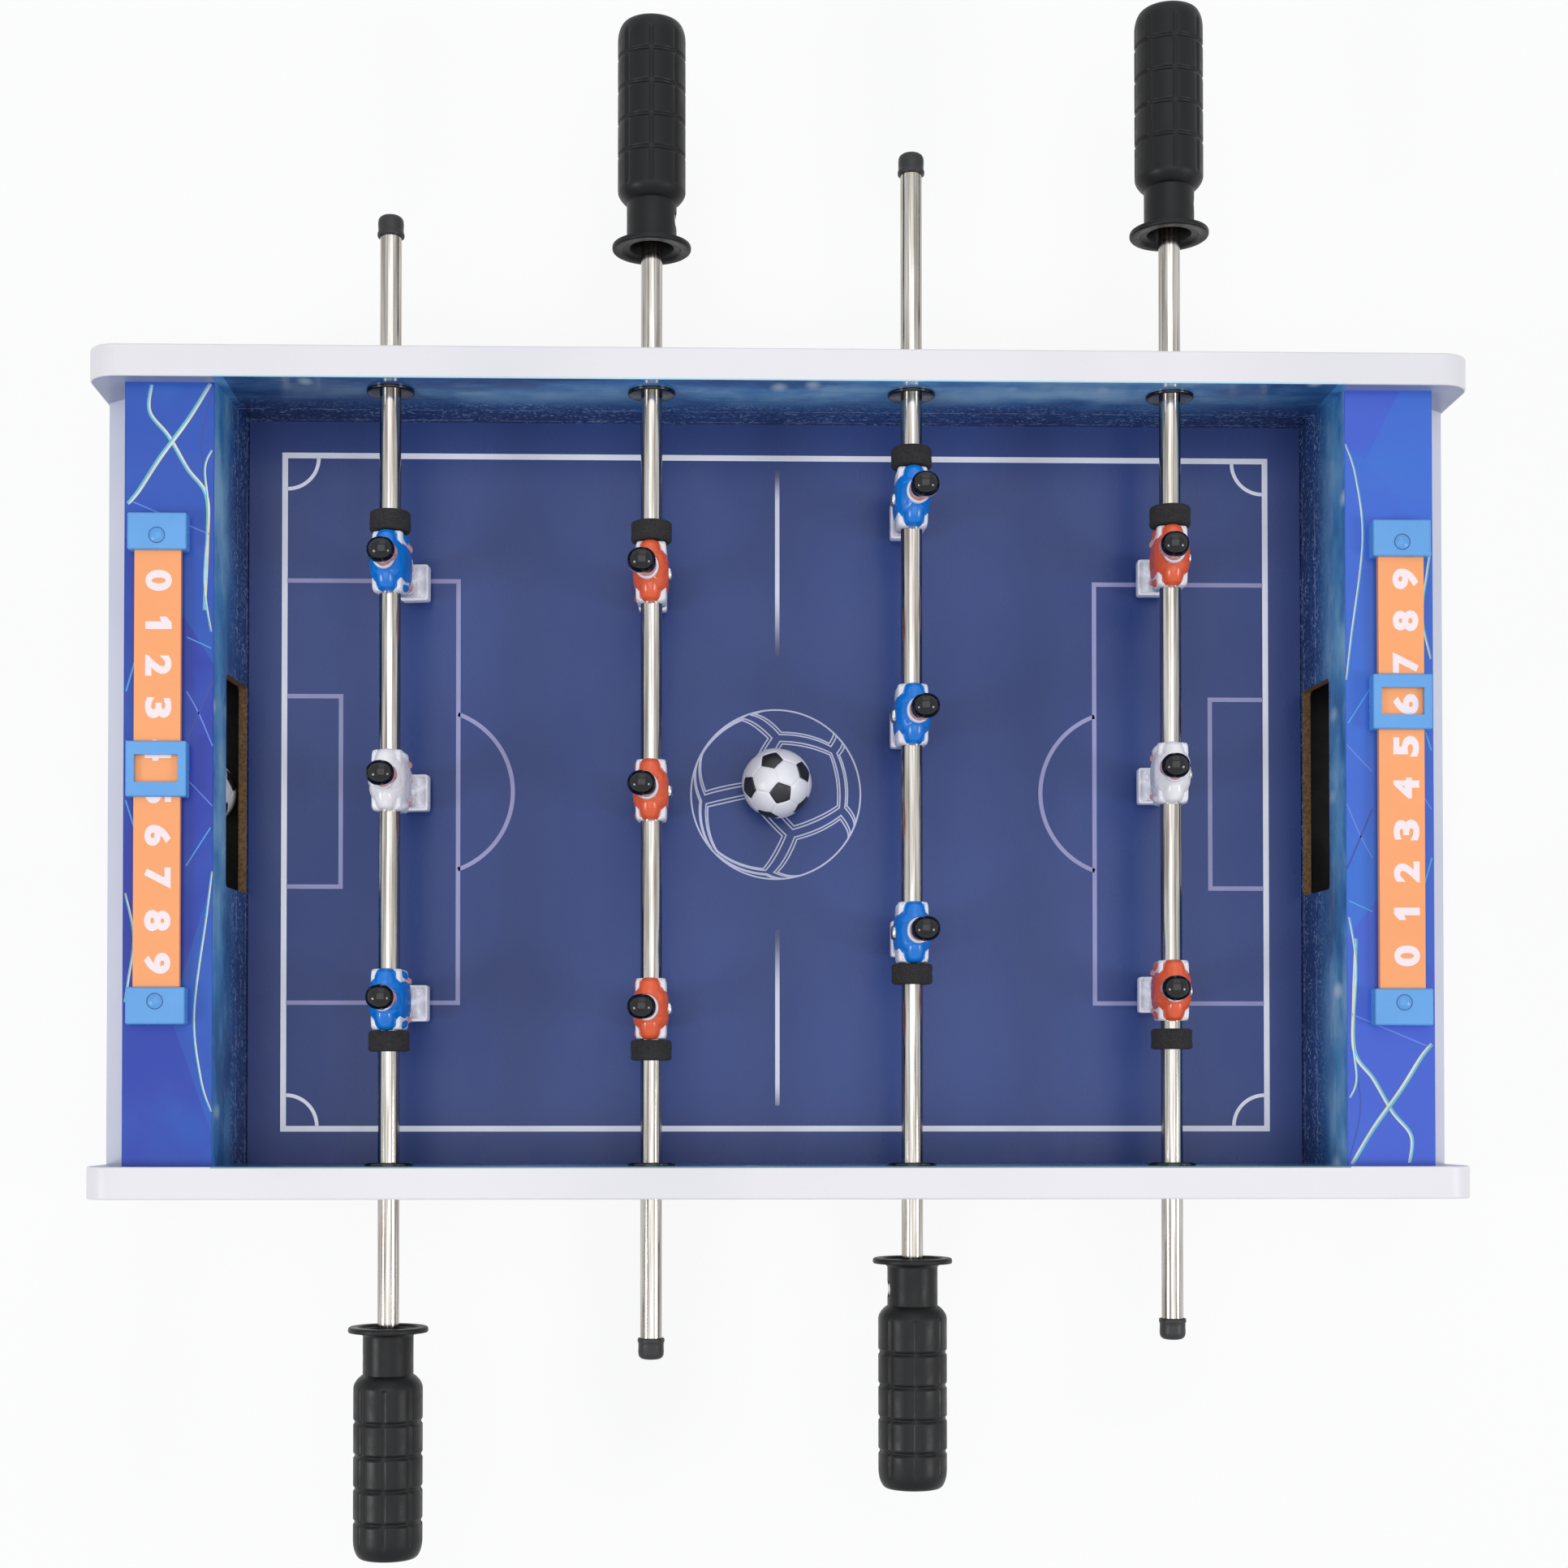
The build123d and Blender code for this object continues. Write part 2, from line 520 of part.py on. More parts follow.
def screw_stations():
    """Y of the rod's screws: one behind each player, and one in the handle."""
    players = [i * PLAYER_SPACING for i in (-1, 0, 1)]
    return players + [GRIP_REACH - HANDLE_LENGTH + handle_screw_y()]


def make_rods():
    figure = player()
    grip = handle()
    cap = end_cap()
    ring = bumper()
    rod = tube()
    seats = [CHEST_DEPTH / 2] * 3 + [NECK_RADIUS - HANDLE_SCREW_RECESS]
    screws = [Pos(0, y, 0) * back_screw(seat) for y, seat in zip(screw_stations(), seats)]
    ring_y = PLAYER_SPACING + PLAYER_WIDTH / 2 + STOP_CLEARANCE
    for k in range(4):
        place = Pos(ROD_X[k], ROD_SHIFT[k], ROD_Z)
        turned = place * Rot(0, -FACING[k] * FEET_FORWARD[k], 0)
        # As drawn, the handle is towards +Y and the screws are at the back of players facing +X.
        turn = Rot(180 if HANDLE_SIDE[k] < 0 else 0, 180 if FACING[k] < 0 else 0, 0)
        number = k + 1
        save(f"rod_{number}_tube", turned * turn * rod)
        save(f"rod_{number}_handle", turned * turn * Pos(0, GRIP_REACH - HANDLE_LENGTH, 0) * grip)
        save(f"rod_{number}_end_cap", turned * turn * Pos(0, -CAP_REACH, 0) * cap)
        save(f"rod_{number}_screws", *[turned * turn * screw for screw in screws])
        for i in (-1, 0, 1):
            facing = figure if FACING[k] > 0 else Rot(0, 0, 180) * figure
            save(f"rod_{number}_player_{i + 2}", turned * Pos(0, i * PLAYER_SPACING, 0) * facing)
        front_y = -ring_y - BUMPER_DRIFT[k] - BUMPER_LENGTH
        rings = [place * Pos(0, ring_y, 0) * ring, place * Pos(0, front_y, 0) * ring]
        save(f"rod_{number}_bumpers", *rings)


# ------------------------------------------------------------------ balls

def make_balls():
    x, y = BALL_PLACE
    save("match_ball", Pos(x, y, FIELD_TOP + BALL_GAP + BALL_RADIUS) * Sphere(BALL_RADIUS))
    pocket_x = -(RAIL_INNER_X + RAIL_OUTER_X - WALL_THICKNESS) / 2
    save("pocket_ball", Pos(pocket_x, 0, TRAY_TOP + BALL_GAP + BALL_RADIUS) * Sphere(BALL_RADIUS))


make_cabinet()
make_scorers()
make_rods()
make_balls()
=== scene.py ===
import bpy
import math
from mathutils import Matrix, Vector, noise


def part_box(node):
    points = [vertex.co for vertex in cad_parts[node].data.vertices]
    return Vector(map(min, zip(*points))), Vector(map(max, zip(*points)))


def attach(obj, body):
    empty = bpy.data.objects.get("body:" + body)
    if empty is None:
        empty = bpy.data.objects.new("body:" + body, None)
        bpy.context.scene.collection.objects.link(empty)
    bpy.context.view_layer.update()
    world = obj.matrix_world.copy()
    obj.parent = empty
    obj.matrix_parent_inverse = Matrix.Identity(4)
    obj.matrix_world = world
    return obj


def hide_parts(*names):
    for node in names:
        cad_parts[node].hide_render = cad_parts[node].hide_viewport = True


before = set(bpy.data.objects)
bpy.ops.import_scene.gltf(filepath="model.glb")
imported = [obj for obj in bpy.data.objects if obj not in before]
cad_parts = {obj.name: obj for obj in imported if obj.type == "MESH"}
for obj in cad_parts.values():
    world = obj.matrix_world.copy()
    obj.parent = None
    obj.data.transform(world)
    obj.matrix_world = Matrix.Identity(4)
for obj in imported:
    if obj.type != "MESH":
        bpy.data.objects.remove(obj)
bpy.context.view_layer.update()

MM = 0.001
FACING = (1, -1, 1, -1)
FEET_FORWARD = (8.0, -2.0, -1.0, -1.0)
FIELD_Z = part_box("playfield_board")[1].z
RAIL_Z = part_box("top_rail_left")[1].z
PANEL_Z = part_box("side_panel_back")[1].z
BAR_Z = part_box("score_bar_left")[1].z
INNER_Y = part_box("side_panel_back")[0].y
CLIPS_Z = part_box("score_clips")[1].z

# zones of the printed looks, in metres
WALL_BOTTOM, WALL_TOP = 0.031, 0.0796    # the stadium print's height on the inner walls
WALL_FACE_X = 0.2045                     # past this the print is on a goal wall
WALL_BACK_X = 0.2092                     # back of the goal walls
PRINT_END_X = 0.2087                     # the side panels are printed up to here
RAIL_OUTER_X = 0.2419                    # past this an end board is white laminate painted pale lilac-grey, painted shade
INK_GLOSS, INK_GRAIN = (0.3, 0.42, 90.0), (900.0, 0.06, 0.00005)

# print on the field, in millimetres
BORDER_X, BORDER_Y, BORDER_HALF = 191.3, 130.8, 1.1
BOX_END_X = 190.3
BOX_X, BOX_Y = 124, 82
SMALL_BOX_X, SMALL_BOX_Y = 169.4, 37
BOX_HALF = 0.85
BOX_ARC_X, BOX_ARC_RADIUS, BOX_ARC_REACH = 134.9, 32.1, 30.2
CORNER_RADIUS = 12
BALL_PRINT_X, BALL_PRINT_Y, BALL_PRINT_RADIUS = -0.6, -0.7, 33.0
RIM = 0.06                               # panel lines stop this near the drawn ball's edge
INK_LOW, INK_HIGH = 0.004, 0.045         # an ink's underside and top over its surface

# score digits, in millimetres
DIGIT_WIDE, DIGIT_TALL = 7.7, 9.6
CLIPS_MIDDLE_Y, PLUG_GAP_RADIUS = 1.2, 2.85

# handle, in millimetres from its mouth
FLANGE_RADIUS, NECK_RADIUS, GRIP_RADIUS = 14.7, 9.3, 12.7
GRIP_START, GRIP_END, HANDLE_LENGTH = 22.5, 78, 85.0
TIP_RADIUS = 9.2
SCREW_AT, SCREW_RECESS, RECESS_DEPTH = 11.5, 3.25, 2.4


def rgb(r, g, b):
    """Linear colour from the 0-255 values that it shows as."""
    shares = (r / 255, g / 255, b / 255)
    return tuple(c / 12.92 if c <= 0.04045 else ((c + 0.055) / 1.055) ** 2.4 for c in shares) + (1,)


# ------------------------------------------------------------------ materials

LOOKS = {}


class Look:
    """A node material, built from small steps."""

    def __init__(self, name, **settings):
        self.mat = LOOKS[name] = bpy.data.materials.new(name)
        self.mat.use_nodes = True
        self.tree = self.mat.node_tree
        self.bsdf = self.tree.nodes["Principled BSDF"]
        for key, value in settings.items():
            self.bsdf.inputs[key.replace("_", " ")].default_value = value
        self.place = self.node("ShaderNodeTexCoord").outputs["Object"]
        self.xyz = self.node("ShaderNodeSeparateXYZ", Vector=self.place).outputs

    def node(self, kind, settings=(), **ins):
        n = self.tree.nodes.new(kind)
        for key, value in dict(settings).items():
            setattr(n, key, value)
        for key, value in ins.items():
            self.feed(n.inputs[key.replace("_", " ")], value)
        return n

    def feed(self, socket, value):
        if isinstance(value, bpy.types.NodeSocket):
            self.tree.links.new(value, socket)
        else:
            socket.default_value = value

    def math(self, op, *values):
        n = self.node("ShaderNodeMath", {"operation": op})
        for socket, value in zip(n.inputs, values):
            self.feed(socket, value)
        return n.outputs[0]

    def times(self, *values):
        return self.math("MULTIPLY", *values)

    def size_of(self, value):
        return self.math("ABSOLUTE", value)

    def mottle(self, dark, light, *noise):
        """Two colours in soft patches."""
        return self.mix(self.step(self.noise(*noise), 0.35, 0.65), dark, light)

    def step(self, value, low, high, to=(0.0, 1.0)):
        n = self.node("ShaderNodeMapRange", {"interpolation_type": "SMOOTHSTEP"}, Value=value, From_Min=low,
                From_Max=high, To_Min=to[0], To_Max=to[1])
        return n.outputs[0]

    def noise(self, scale, detail=3.0, rough=0.5, stretch=(1, 1, 1), shift=(0, 0, 0)):
        m = self.node("ShaderNodeMapping", Vector=self.place, Scale=stretch, Location=shift)
        return self.node("ShaderNodeTexNoise", Vector=m.outputs[0], Scale=scale, Detail=detail,
                Roughness=rough).outputs[0]

    def cells(self, scale, stretch=(1, 1, 1), feature="F1", out="Distance", shift=(0, 0, 0)):
        m = self.node("ShaderNodeMapping", Vector=self.place, Scale=stretch, Location=shift)
        return self.node("ShaderNodeTexVoronoi", {"feature": feature}, Vector=m.outputs[0],
                Scale=scale).outputs[out]

    def ramp(self, value, *stops):
        n = self.node("ShaderNodeValToRGB", Fac=value)
        ramp = n.color_ramp
        while len(ramp.elements) < len(stops):
            ramp.elements.new(0.5)
        for e, (at, colour) in zip(ramp.elements, stops):
            e.position, e.color = at, colour
        return n.outputs[0]

    def mix(self, amount, a, b):
        n = self.node("ShaderNodeMix", {"data_type": "RGBA"})
        self.feed(n.inputs[0], amount)
        self.feed(n.inputs[6], a)
        self.feed(n.inputs[7], b)
        return n.outputs[2]

    def colour(self, value):
        self.feed(self.bsdf.inputs["Base Color"], value)

    def rough(self, low, high, scale=60.0, detail=4.0, stretch=(1, 1, 1)):
        value = self.step(self.noise(scale, detail, 0.6, stretch), 0.3, 0.7, (low, high))
        self.feed(self.bsdf.inputs["Roughness"], value)

    def bump(self, height, strength, distance=0.0002):
        n = self.node("ShaderNodeBump", Strength=strength, Distance=distance, Height=height)
        self.feed(self.bsdf.inputs["Normal"], n.outputs[0])

    def normal(self):
        return self.node("ShaderNodeSeparateXYZ",
                Vector=self.node("ShaderNodeTexCoord").outputs["Normal"]).outputs


def plain(name, colour, rough, grain=(700.0, 0.12, 0.0001), spread=0.07, broad=30.0, **settings):
    """One colour with slight mottling, uneven gloss and a fine moulded grain."""
    look = Look(name, **settings)
    dark = tuple(c * (1 - spread) for c in colour[:3]) + (1,)
    light = tuple(min(1, c * (1 + spread)) for c in colour[:3]) + (1,)
    look.colour(look.mix(look.step(look.noise(broad, 5.0, 0.6), 0.3, 0.7), dark, light))
    look.rough(*rough)
    look.bump(look.noise(grain[0], 3.0, 0.6), grain[1], grain[2])


def crowd_print(look):
    """A blurred stadium: a dark stand of tiny lights below, hazy flood light above; painted shade darkens it
    towards the side walls' corners.
    """
    x, y, z = look.xyz
    linear = look.node("ShaderNodeMapRange", Value=z, From_Min=WALL_BOTTOM, From_Max=WALL_TOP).outputs[0]
    base = look.ramp(linear, (0.0, rgb(32, 60, 114)), (0.3, rgb(38, 76, 134)), (0.55, rgb(50, 110, 170)),
            (0.8, rgb(72, 148, 206)), (1.0, rgb(70, 140, 208)))
    haze = look.noise(15.0, 5.0, 0.6, (1, 1, 2.6))
    rays = look.noise(46.0, 3.0, 0.5, (1, 1, 0.35), (0.3, 0.1, 0))
    glow = look.times(look.step(look.math("ADD", haze, look.times(rays, 0.35)), 0.6, 0.86),
            look.step(linear, 0.35, 0.9))
    colour = look.mix(look.times(glow, 0.85), base, rgb(158, 206, 232))
    colour = look.mix(look.times(look.step(haze, 0.52, 0.34), 0.6), colour, rgb(20, 42, 104))
    # painted shade: the side walls' print darkened to navy towards both corners
    reach = look.size_of(look.math("ADD", x, -0.02))
    ends = look.times(look.step(reach, 0.11, 0.2), look.math("LESS_THAN", look.size_of(x), WALL_FACE_X))
    colour = look.mix(look.times(ends, 0.6), colour, rgb(18, 32, 88))
    flare = look.times(look.step(look.cells(46.0, (1, 1, 0.6)), 0.2, 0.02), look.step(linear, 0.55, 0.8))
    colour = look.mix(look.times(flare, 0.8), colour, rgb(210, 236, 248))
    people = look.cells(1050.0, (1, 1, 1.2), out="Color")
    spot = look.node("ShaderNodeSeparateColor", Color=people).outputs[0]
    stand = look.step(linear, 0.66, 0.36)
    clump = look.step(look.noise(120.0, 5.0, 0.75, (0.6, 0.6, 2.0)), 0.38, 0.64)
    dots = look.times(look.times(look.step(spot, 0.66, 0.95), stand), clump)
    colour = look.mix(look.times(dots, 0.75), colour, rgb(164, 192, 222))
    dim = look.times(look.step(spot, 0.4, 0.1), stand)
    colour = look.mix(look.times(dim, 0.45), colour, rgb(14, 28, 66))
    run = look.math("ADD", x, y)
    wobble = look.times(look.math("SUBTRACT", look.noise(34.0, 2.0), 0.5), 0.0022)
    for level, half, gain in ((0.0475, 0.00042, 0.6), (0.0338, 0.0006, 0.4), (0.0625, 0.0003, 0.3)):
        off = look.size_of(look.math("SUBTRACT", look.math("ADD", z, wobble), level))
        band = look.step(off, half * 1.6, half * 0.6)
        dash = look.step(look.math("SINE", look.times(run, 165.0)), -0.9, -0.75)
        worn = look.step(look.noise(260.0, 3.0, 0.7), 0.4, 0.56)
        line = look.times(look.times(band, dash), look.times(worn, gain))
        colour = look.mix(line, colour, rgb(166, 178, 212))
    return colour


def edge_board(look, printed, cut, side, limit):
    """Print on the faces that look inward along an axis, and another colour elsewhere."""
    nx, ny, nz = look.normal()
    x, y, z = look.xyz
    if side == "x":
        facing = look.times(look.math("SIGN", x), nx)
        inside = look.math("LESS_THAN", look.size_of(x), limit)
    else:
        facing = look.times(look.math("SIGN", y), ny)
        inside = look.math("LESS_THAN", look.size_of(y), limit)
    mask = look.times(look.math("LESS_THAN", facing, -0.9), inside)
    return mask, look.mix(mask, cut, printed)


def make_looks():
    """Every material of the model, from the boards to the inks."""
    # white laminate with the printed inner face; where the inner face is unprinted it is painted blue-grey,
    # painted shade
    look = Look("white_laminate", IOR=1.46)
    shade = look.mottle(rgb(226, 224, 230), rgb(234, 232, 236), 7.0, 3.0)
    dusty = look.mix(look.step(look.noise(210.0, 4.0, 0.7), 0.62, 0.8, (0.0, 0.25)), shade,
            rgb(206, 205, 214))
    x, y, z = look.xyz
    mask, colour = edge_board(look, crowd_print(look), dusty, "y", INNER_Y + 0.0004)
    inner = look.math("LESS_THAN", look.size_of(x), PRINT_END_X)
    low = look.math("GREATER_THAN", z, WALL_BOTTOM - 0.0002)
    both = look.times(look.times(mask, inner), low)
    # unprinted inner faces (the panel ends, and below the print) painted blue-grey: painted shade on white
    # laminate
    unprinted_with_painted_shade = look.mix(look.times(mask, look.math("SUBTRACT", 1.0, both)), dusty, rgb(150, 158, 186))
    look.colour(look.mix(both, unprinted_with_painted_shade, colour))
    satin = look.step(look.noise(46.0, 4.0, 0.6), 0.3, 0.7, (0.3, 0.4))
    look.feed(look.bsdf.inputs["Roughness"], look.math("SUBTRACT", satin, look.times(both, 0.14)))
    look.bump(look.noise(420.0, 4.0, 0.6), 0.1, 0.0001)
    # goal walls: glossy print, fibreboard on the cut edges
    look = Look("wall_print", IOR=1.5)
    fibre = look.mottle(rgb(92, 66, 34), rgb(134, 102, 62), 900.0, 4.0, 0.7)
    mask, colour = edge_board(look, crowd_print(look), fibre, "x", WALL_BACK_X)
    look.colour(colour)
    dull = look.step(look.noise(70.0, 4.0), 0.3, 0.7, (0.62, 0.8))
    look.feed(look.bsdf.inputs["Roughness"], look.math("SUBTRACT", dull, look.times(mask, 0.5)))
    ripple = look.math("ADD", look.times(look.noise(34.0, 2.0, 0.4), 3.0), look.noise(900.0, 2.0, 0.6))
    look.bump(ripple, 0.14, 0.0002)
    # rails in blue print, with painted shade on the left rail and painted light on the right; end boards
    # white laminate painted a pale lilac-grey, painted shade
    look = Look("blue_print", IOR=1.45, Specular_IOR_Level=0.35)
    x, y, z = look.xyz
    facet = look.node("ShaderNodeSeparateColor",
            Color=look.cells(13.0, (1.0, 0.7, 1.0), out="Color")).outputs[0]
    # one blue print, painted darker on the left rail and lighter on the right: painted shade and painted
    # light
    left = look.mix(look.step(facet, 0.3, 0.7), rgb(44, 62, 166), rgb(44, 84, 180))
    right = look.mix(look.step(facet, 0.3, 0.7), rgb(58, 110, 208), rgb(66, 96, 204))
    blue = look.mix(look.step(x, -0.15, 0.15), left, right)
    blue = look.mix(look.step(look.noise(22.0, 3.0), 0.45, 0.75, (0.0, 0.3)), blue, rgb(46, 120, 208))
    mask, colour = edge_board(look, crowd_print(look), blue, "x", WALL_BACK_X)
    outer = look.math("GREATER_THAN", look.size_of(x), RAIL_OUTER_X)
    # white end boards painted pale lilac-grey instead of their white: painted shade
    pale = look.mottle(rgb(200, 204, 222), rgb(212, 214, 228), 9.0, 3.0)
    look.colour(look.mix(outer, colour, pale))
    look.rough(0.3, 0.42, 50.0)
    look.bump(look.noise(520.0, 4.0, 0.6), 0.1, 0.0001)
    # playing surface
    look = Look("field_print", IOR=1.45, Specular_IOR_Level=0.3)
    broad = look.mottle(rgb(42, 62, 120), rgb(52, 72, 132), 6.0, 3.0, 0.5)
    speck = look.step(look.noise(1100.0, 2.0, 0.7), 0.58, 0.78, (0.0, 0.2))
    look.colour(look.mix(speck, broad, rgb(72, 94, 160)))
    look.rough(0.24, 0.33, 34.0, 4.0, (1, 0.4, 1))
    look.bump(look.noise(800.0, 3.0, 0.6), 0.06, 0.0001)
    # bare fibreboard
    look = Look("raw_board", IOR=1.45)
    fibre = look.mottle(rgb(128, 98, 64), rgb(162, 130, 90), 520.0, 5.0, 0.7)
    look.colour(look.mix(look.step(look.noise(1300.0, 2.0, 0.8), 0.62, 0.8, (0.0, 0.6)), fibre,
            rgb(88, 62, 38)))
    look.rough(0.7, 0.85, 80.0)
    look.bump(look.noise(700.0, 5.0, 0.7), 0.35, 0.0003)
    # nickel-plated tube with fine drawing grain along its length; its light and dark lengthwise colour
    # streaks and darkened base are painted reflection
    look = Look("rod_steel", Metallic=1.0)
    drawn = look.noise(900.0, 3.0, 0.6, (1, 0.02, 1))
    # painted reflection: lengthwise light and dark streaks over a base darkened to stand for the dark field
    # mirrored in the tube
    look.colour(look.mix(look.step(drawn, 0.3, 0.7), rgb(140, 132, 122), rgb(206, 202, 196)))
    look.feed(look.bsdf.inputs["Roughness"], look.step(drawn, 0.3, 0.7, (0.09, 0.17)))
    look.bump(drawn, 0.05, 0.00005)
    look = Look("screw_steel", Metallic=1.0)
    look.colour(look.mottle(rgb(186, 188, 190), rgb(222, 224, 226), 500.0, 3.0))
    look.rough(0.18, 0.32, 400.0)
    look.bump(look.noise(1500.0, 3.0, 0.6), 0.12, 0.00005)
    # moulded pieces and inks: colour, gloss range, grain, mottling, specular level
    for name, colour, gloss, grain, spread, level in (
            ("black_plastic", (15, 15, 16), (0.34, 0.5, 90.0), (1500.0, 0.22, 0.00008), 0.12, 0.25),
            ("bushing_plastic", (8, 8, 9), (0.08, 0.16, 120.0), INK_GRAIN, 0.1, 0.5),
            ("cap_rubber", (26, 25, 26), (0.42, 0.6, 150.0), (1300.0, 0.25, 0.00008), 0.15, 0.5),
            ("shaded_board", (20, 18, 18), (0.7, 0.85, 90.0), (700.0, 0.3, 0.0002), 0.25, 0.5),
            ("foot_rubber", (40, 40, 42), (0.6, 0.8, 150.0), (1300.0, 0.3, 0.0001), 0.15, 0.5),
            ("orange_plastic", (250, 164, 104), (0.36, 0.46, 60.0), (900.0, 0.08, 0.00006), 0.03, 0.5),
            ("scorer_blue", (92, 160, 226), (0.26, 0.38, 70.0), (1000.0, 0.1, 0.00006), 0.04, 0.5),
            ("moulded_white", (238, 238, 246), (0.24, 0.36, 160.0), (900.0, 0.1, 0.00006), 0.03, 0.5),
            ("hair_black", (7, 7, 8), (0.07, 0.14, 300.0), (240.0, 0.16, 0.0002), 0.1, 0.42),
            ("skin", (236, 172, 168), (0.24, 0.34, 200.0), (700.0, 0.08, 0.00006), 0.05, 0.5),
            ("ball_white", (236, 236, 242), (0.3, 0.42, 120.0), (900.0, 0.14, 0.00008), 0.03, 0.5),
            ("ball_black", (30, 30, 34), (0.3, 0.44, 120.0), (900.0, 0.2, 0.00008), 0.12, 0.5),
            ("ink_white", (238, 240, 250), INK_GLOSS, INK_GRAIN, 0.03, 0.5),
            ("ink_thin", (186, 190, 216), INK_GLOSS, INK_GRAIN, 0.05, 0.5),
            ("ink_lavender", (146, 146, 194), INK_GLOSS, INK_GRAIN, 0.06, 0.5),
            # the next two: painted highlights for the side panels' inner top edges, lighter at the back than
            # at the front
            ("edge_highlight_cyan", (176, 222, 236), INK_GLOSS, INK_GRAIN, 0.05, 0.5),
            ("edge_highlight_green", (116, 146, 150), INK_GLOSS, INK_GRAIN, 0.05, 0.5),
            # the next: a darker blue ring, painted shade in the gap round each plug
            ("plug_ring_shade", (40, 92, 150), (0.4, 0.5, 90.0), INK_GRAIN, 0.05, 0.5),
            ("ink_digit", (248, 232, 236), (0.34, 0.44, 90.0), INK_GRAIN, 0.02, 0.5)):
        plain(name, rgb(*colour), gloss, grain, spread, Specular_IOR_Level=level)
    look = Look("foam_rubber", IOR=1.4)
    pores = look.cells(1700.0)
    look.colour(look.mix(look.step(pores, 0.1, 0.6), rgb(22, 22, 24), rgb(46, 45, 46)))
    look.rough(0.85, 0.98, 200.0)
    look.bump(look.math("ADD", pores, look.noise(500.0, 4.0, 0.7)), 0.5, 0.0003)
    # the players' shirts
    for name, colour in (
            ("player_blue", (0, 122, 222)), ("player_orange", (234, 96, 54)),
            ("player_white", (244, 242, 246))):
        plain(name, rgb(*colour), (0.16, 0.26, 140.0), (420.0, 0.16, 0.00012), 0.05, 160.0)
    look = Look("ink_halfway", IOR=1.5)
    reach = look.size_of(look.xyz[1])
    fade = look.times(look.step(reach, 0.0535, 0.08), look.step(reach, 0.126, 0.112))
    look.colour(look.mix(fade, rgb(44, 56, 106), rgb(226, 230, 246)))
    look.rough(0.28, 0.38, 60.0)
    look.bump(look.noise(900.0, 2.0), 0.06, 0.00005)
    for name, colour in (
            ("streak_pale", (172, 222, 244)), ("streak_cyan", (72, 158, 226)),
            ("streak_green", (120, 184, 150)),
            ("streak_warm", (232, 214, 166)), ("streak_faint", (92, 128, 216)),
            ("streak_dark", (40, 62, 150))):
        plain(name, rgb(*colour), (0.3, 0.42, 60.0), (700.0, 0.06, 0.00005), 0.12, 60.0)



def dress_nodes():
    """Each CAD node takes the look of what it is."""
    for name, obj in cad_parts.items():
        key = slot_of(name)
        obj.data.materials.clear()
        obj.data.materials.append(LOOKS[key])


def slot_of(name):
    """The look of a node, from what it is."""
    rules = (("top_rail", "blue_print"), ("end_board", "blue_print"), ("side_panel", "white_laminate"),
             ("end_wall", "wall_print"), ("playfield", "field_print"), ("base_board", "raw_board"),
             ("field_battens", "raw_board"), ("rail_apron", "raw_board"), ("goal_tray", "shaded_board"),
             ("tube", "rod_steel"), ("screws", "screw_steel"), ("handle", "black_plastic"),
             ("bushings", "bushing_plastic"), ("bumpers", "foam_rubber"), ("end_cap", "cap_rubber"),
             ("rubber_feet", "foot_rubber"), ("score_bar", "orange_plastic"), ("score_", "scorer_blue"),
             ("clip_plugs", "scorer_blue"), ("ball", "ball_white"), ("player", "player_white"))
    return next(look for key, look in rules if key in name)


# ------------------------------------------------------------------ mesh tools

class Maker:
    """Collects points and faces in millimetres, then makes one object."""

    def __init__(self, *looks):
        self.looks, self.points, self.faces, self.marks = looks, [], [], []

    def add(self, points, faces, look=0):
        base = len(self.points)
        self.points += [Vector(p) for p in points]
        self.faces += [[base + i for i in f] for f in faces]
        self.marks += [look] * len(faces)

    def loft(self, rings, look=0, low=True, high=True):
        """Skins closed rings of equal count, with flat or pointed ends."""
        n = len(rings[0])
        faces = [[k * n + i, k * n + (i + 1) % n, (k + 1) * n + (i + 1) % n,
                (k + 1) * n + i] for k in range(len(rings) - 1) for i in range(n)]
        if low:
            faces.append(list(range(n))[::-1])
        if high:
            faces.append([(len(rings) - 1) * n + i for i in range(n)])
        self.add([p for ring in rings for p in ring], faces, look)

    def build(self, name, body=None, where=Matrix.Identity(4), crease=38.0, smooth=True):
        mesh = bpy.data.meshes.new(name)
        mesh.from_pydata([tuple((where @ p) * MM) for p in self.points], [], self.faces)
        for key in self.looks:
            mesh.materials.append(LOOKS[key])
        mesh.polygons.foreach_set("material_index", self.marks)
        mesh.validate()
        mesh.update()
        if smooth:
            mesh.polygons.foreach_set("use_smooth", [True] * len(mesh.polygons))
            mesh.set_sharp_from_angle(angle=math.radians(crease))
        obj = bpy.data.objects.new(name, mesh)
        bpy.context.scene.collection.objects.link(obj)
        if body:
            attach(obj, body)
        return obj


def turns(n):
    """Angles once round a circle."""
    return [2 * math.pi * i / n for i in range(n)]


def hoop(x, y, z, r, n):
    """A circle about a line along Y."""
    return [Vector((x + r * math.cos(a), y, z + r * math.sin(a))) for a in turns(n)]


def oval(cx, cy, z, hx, hy, power=2.0, n=56):
    """A ring in plan between an ellipse and a rounded rectangle."""
    ring = []
    for a in turns(n):
        c, s = math.cos(a), math.sin(a)
        x = hx * math.copysign(abs(c) ** (2 / power), c)
        y = hy * math.copysign(abs(s) ** (2 / power), s)
        ring.append(Vector((cx + x, cy + y, z)))
    return ring


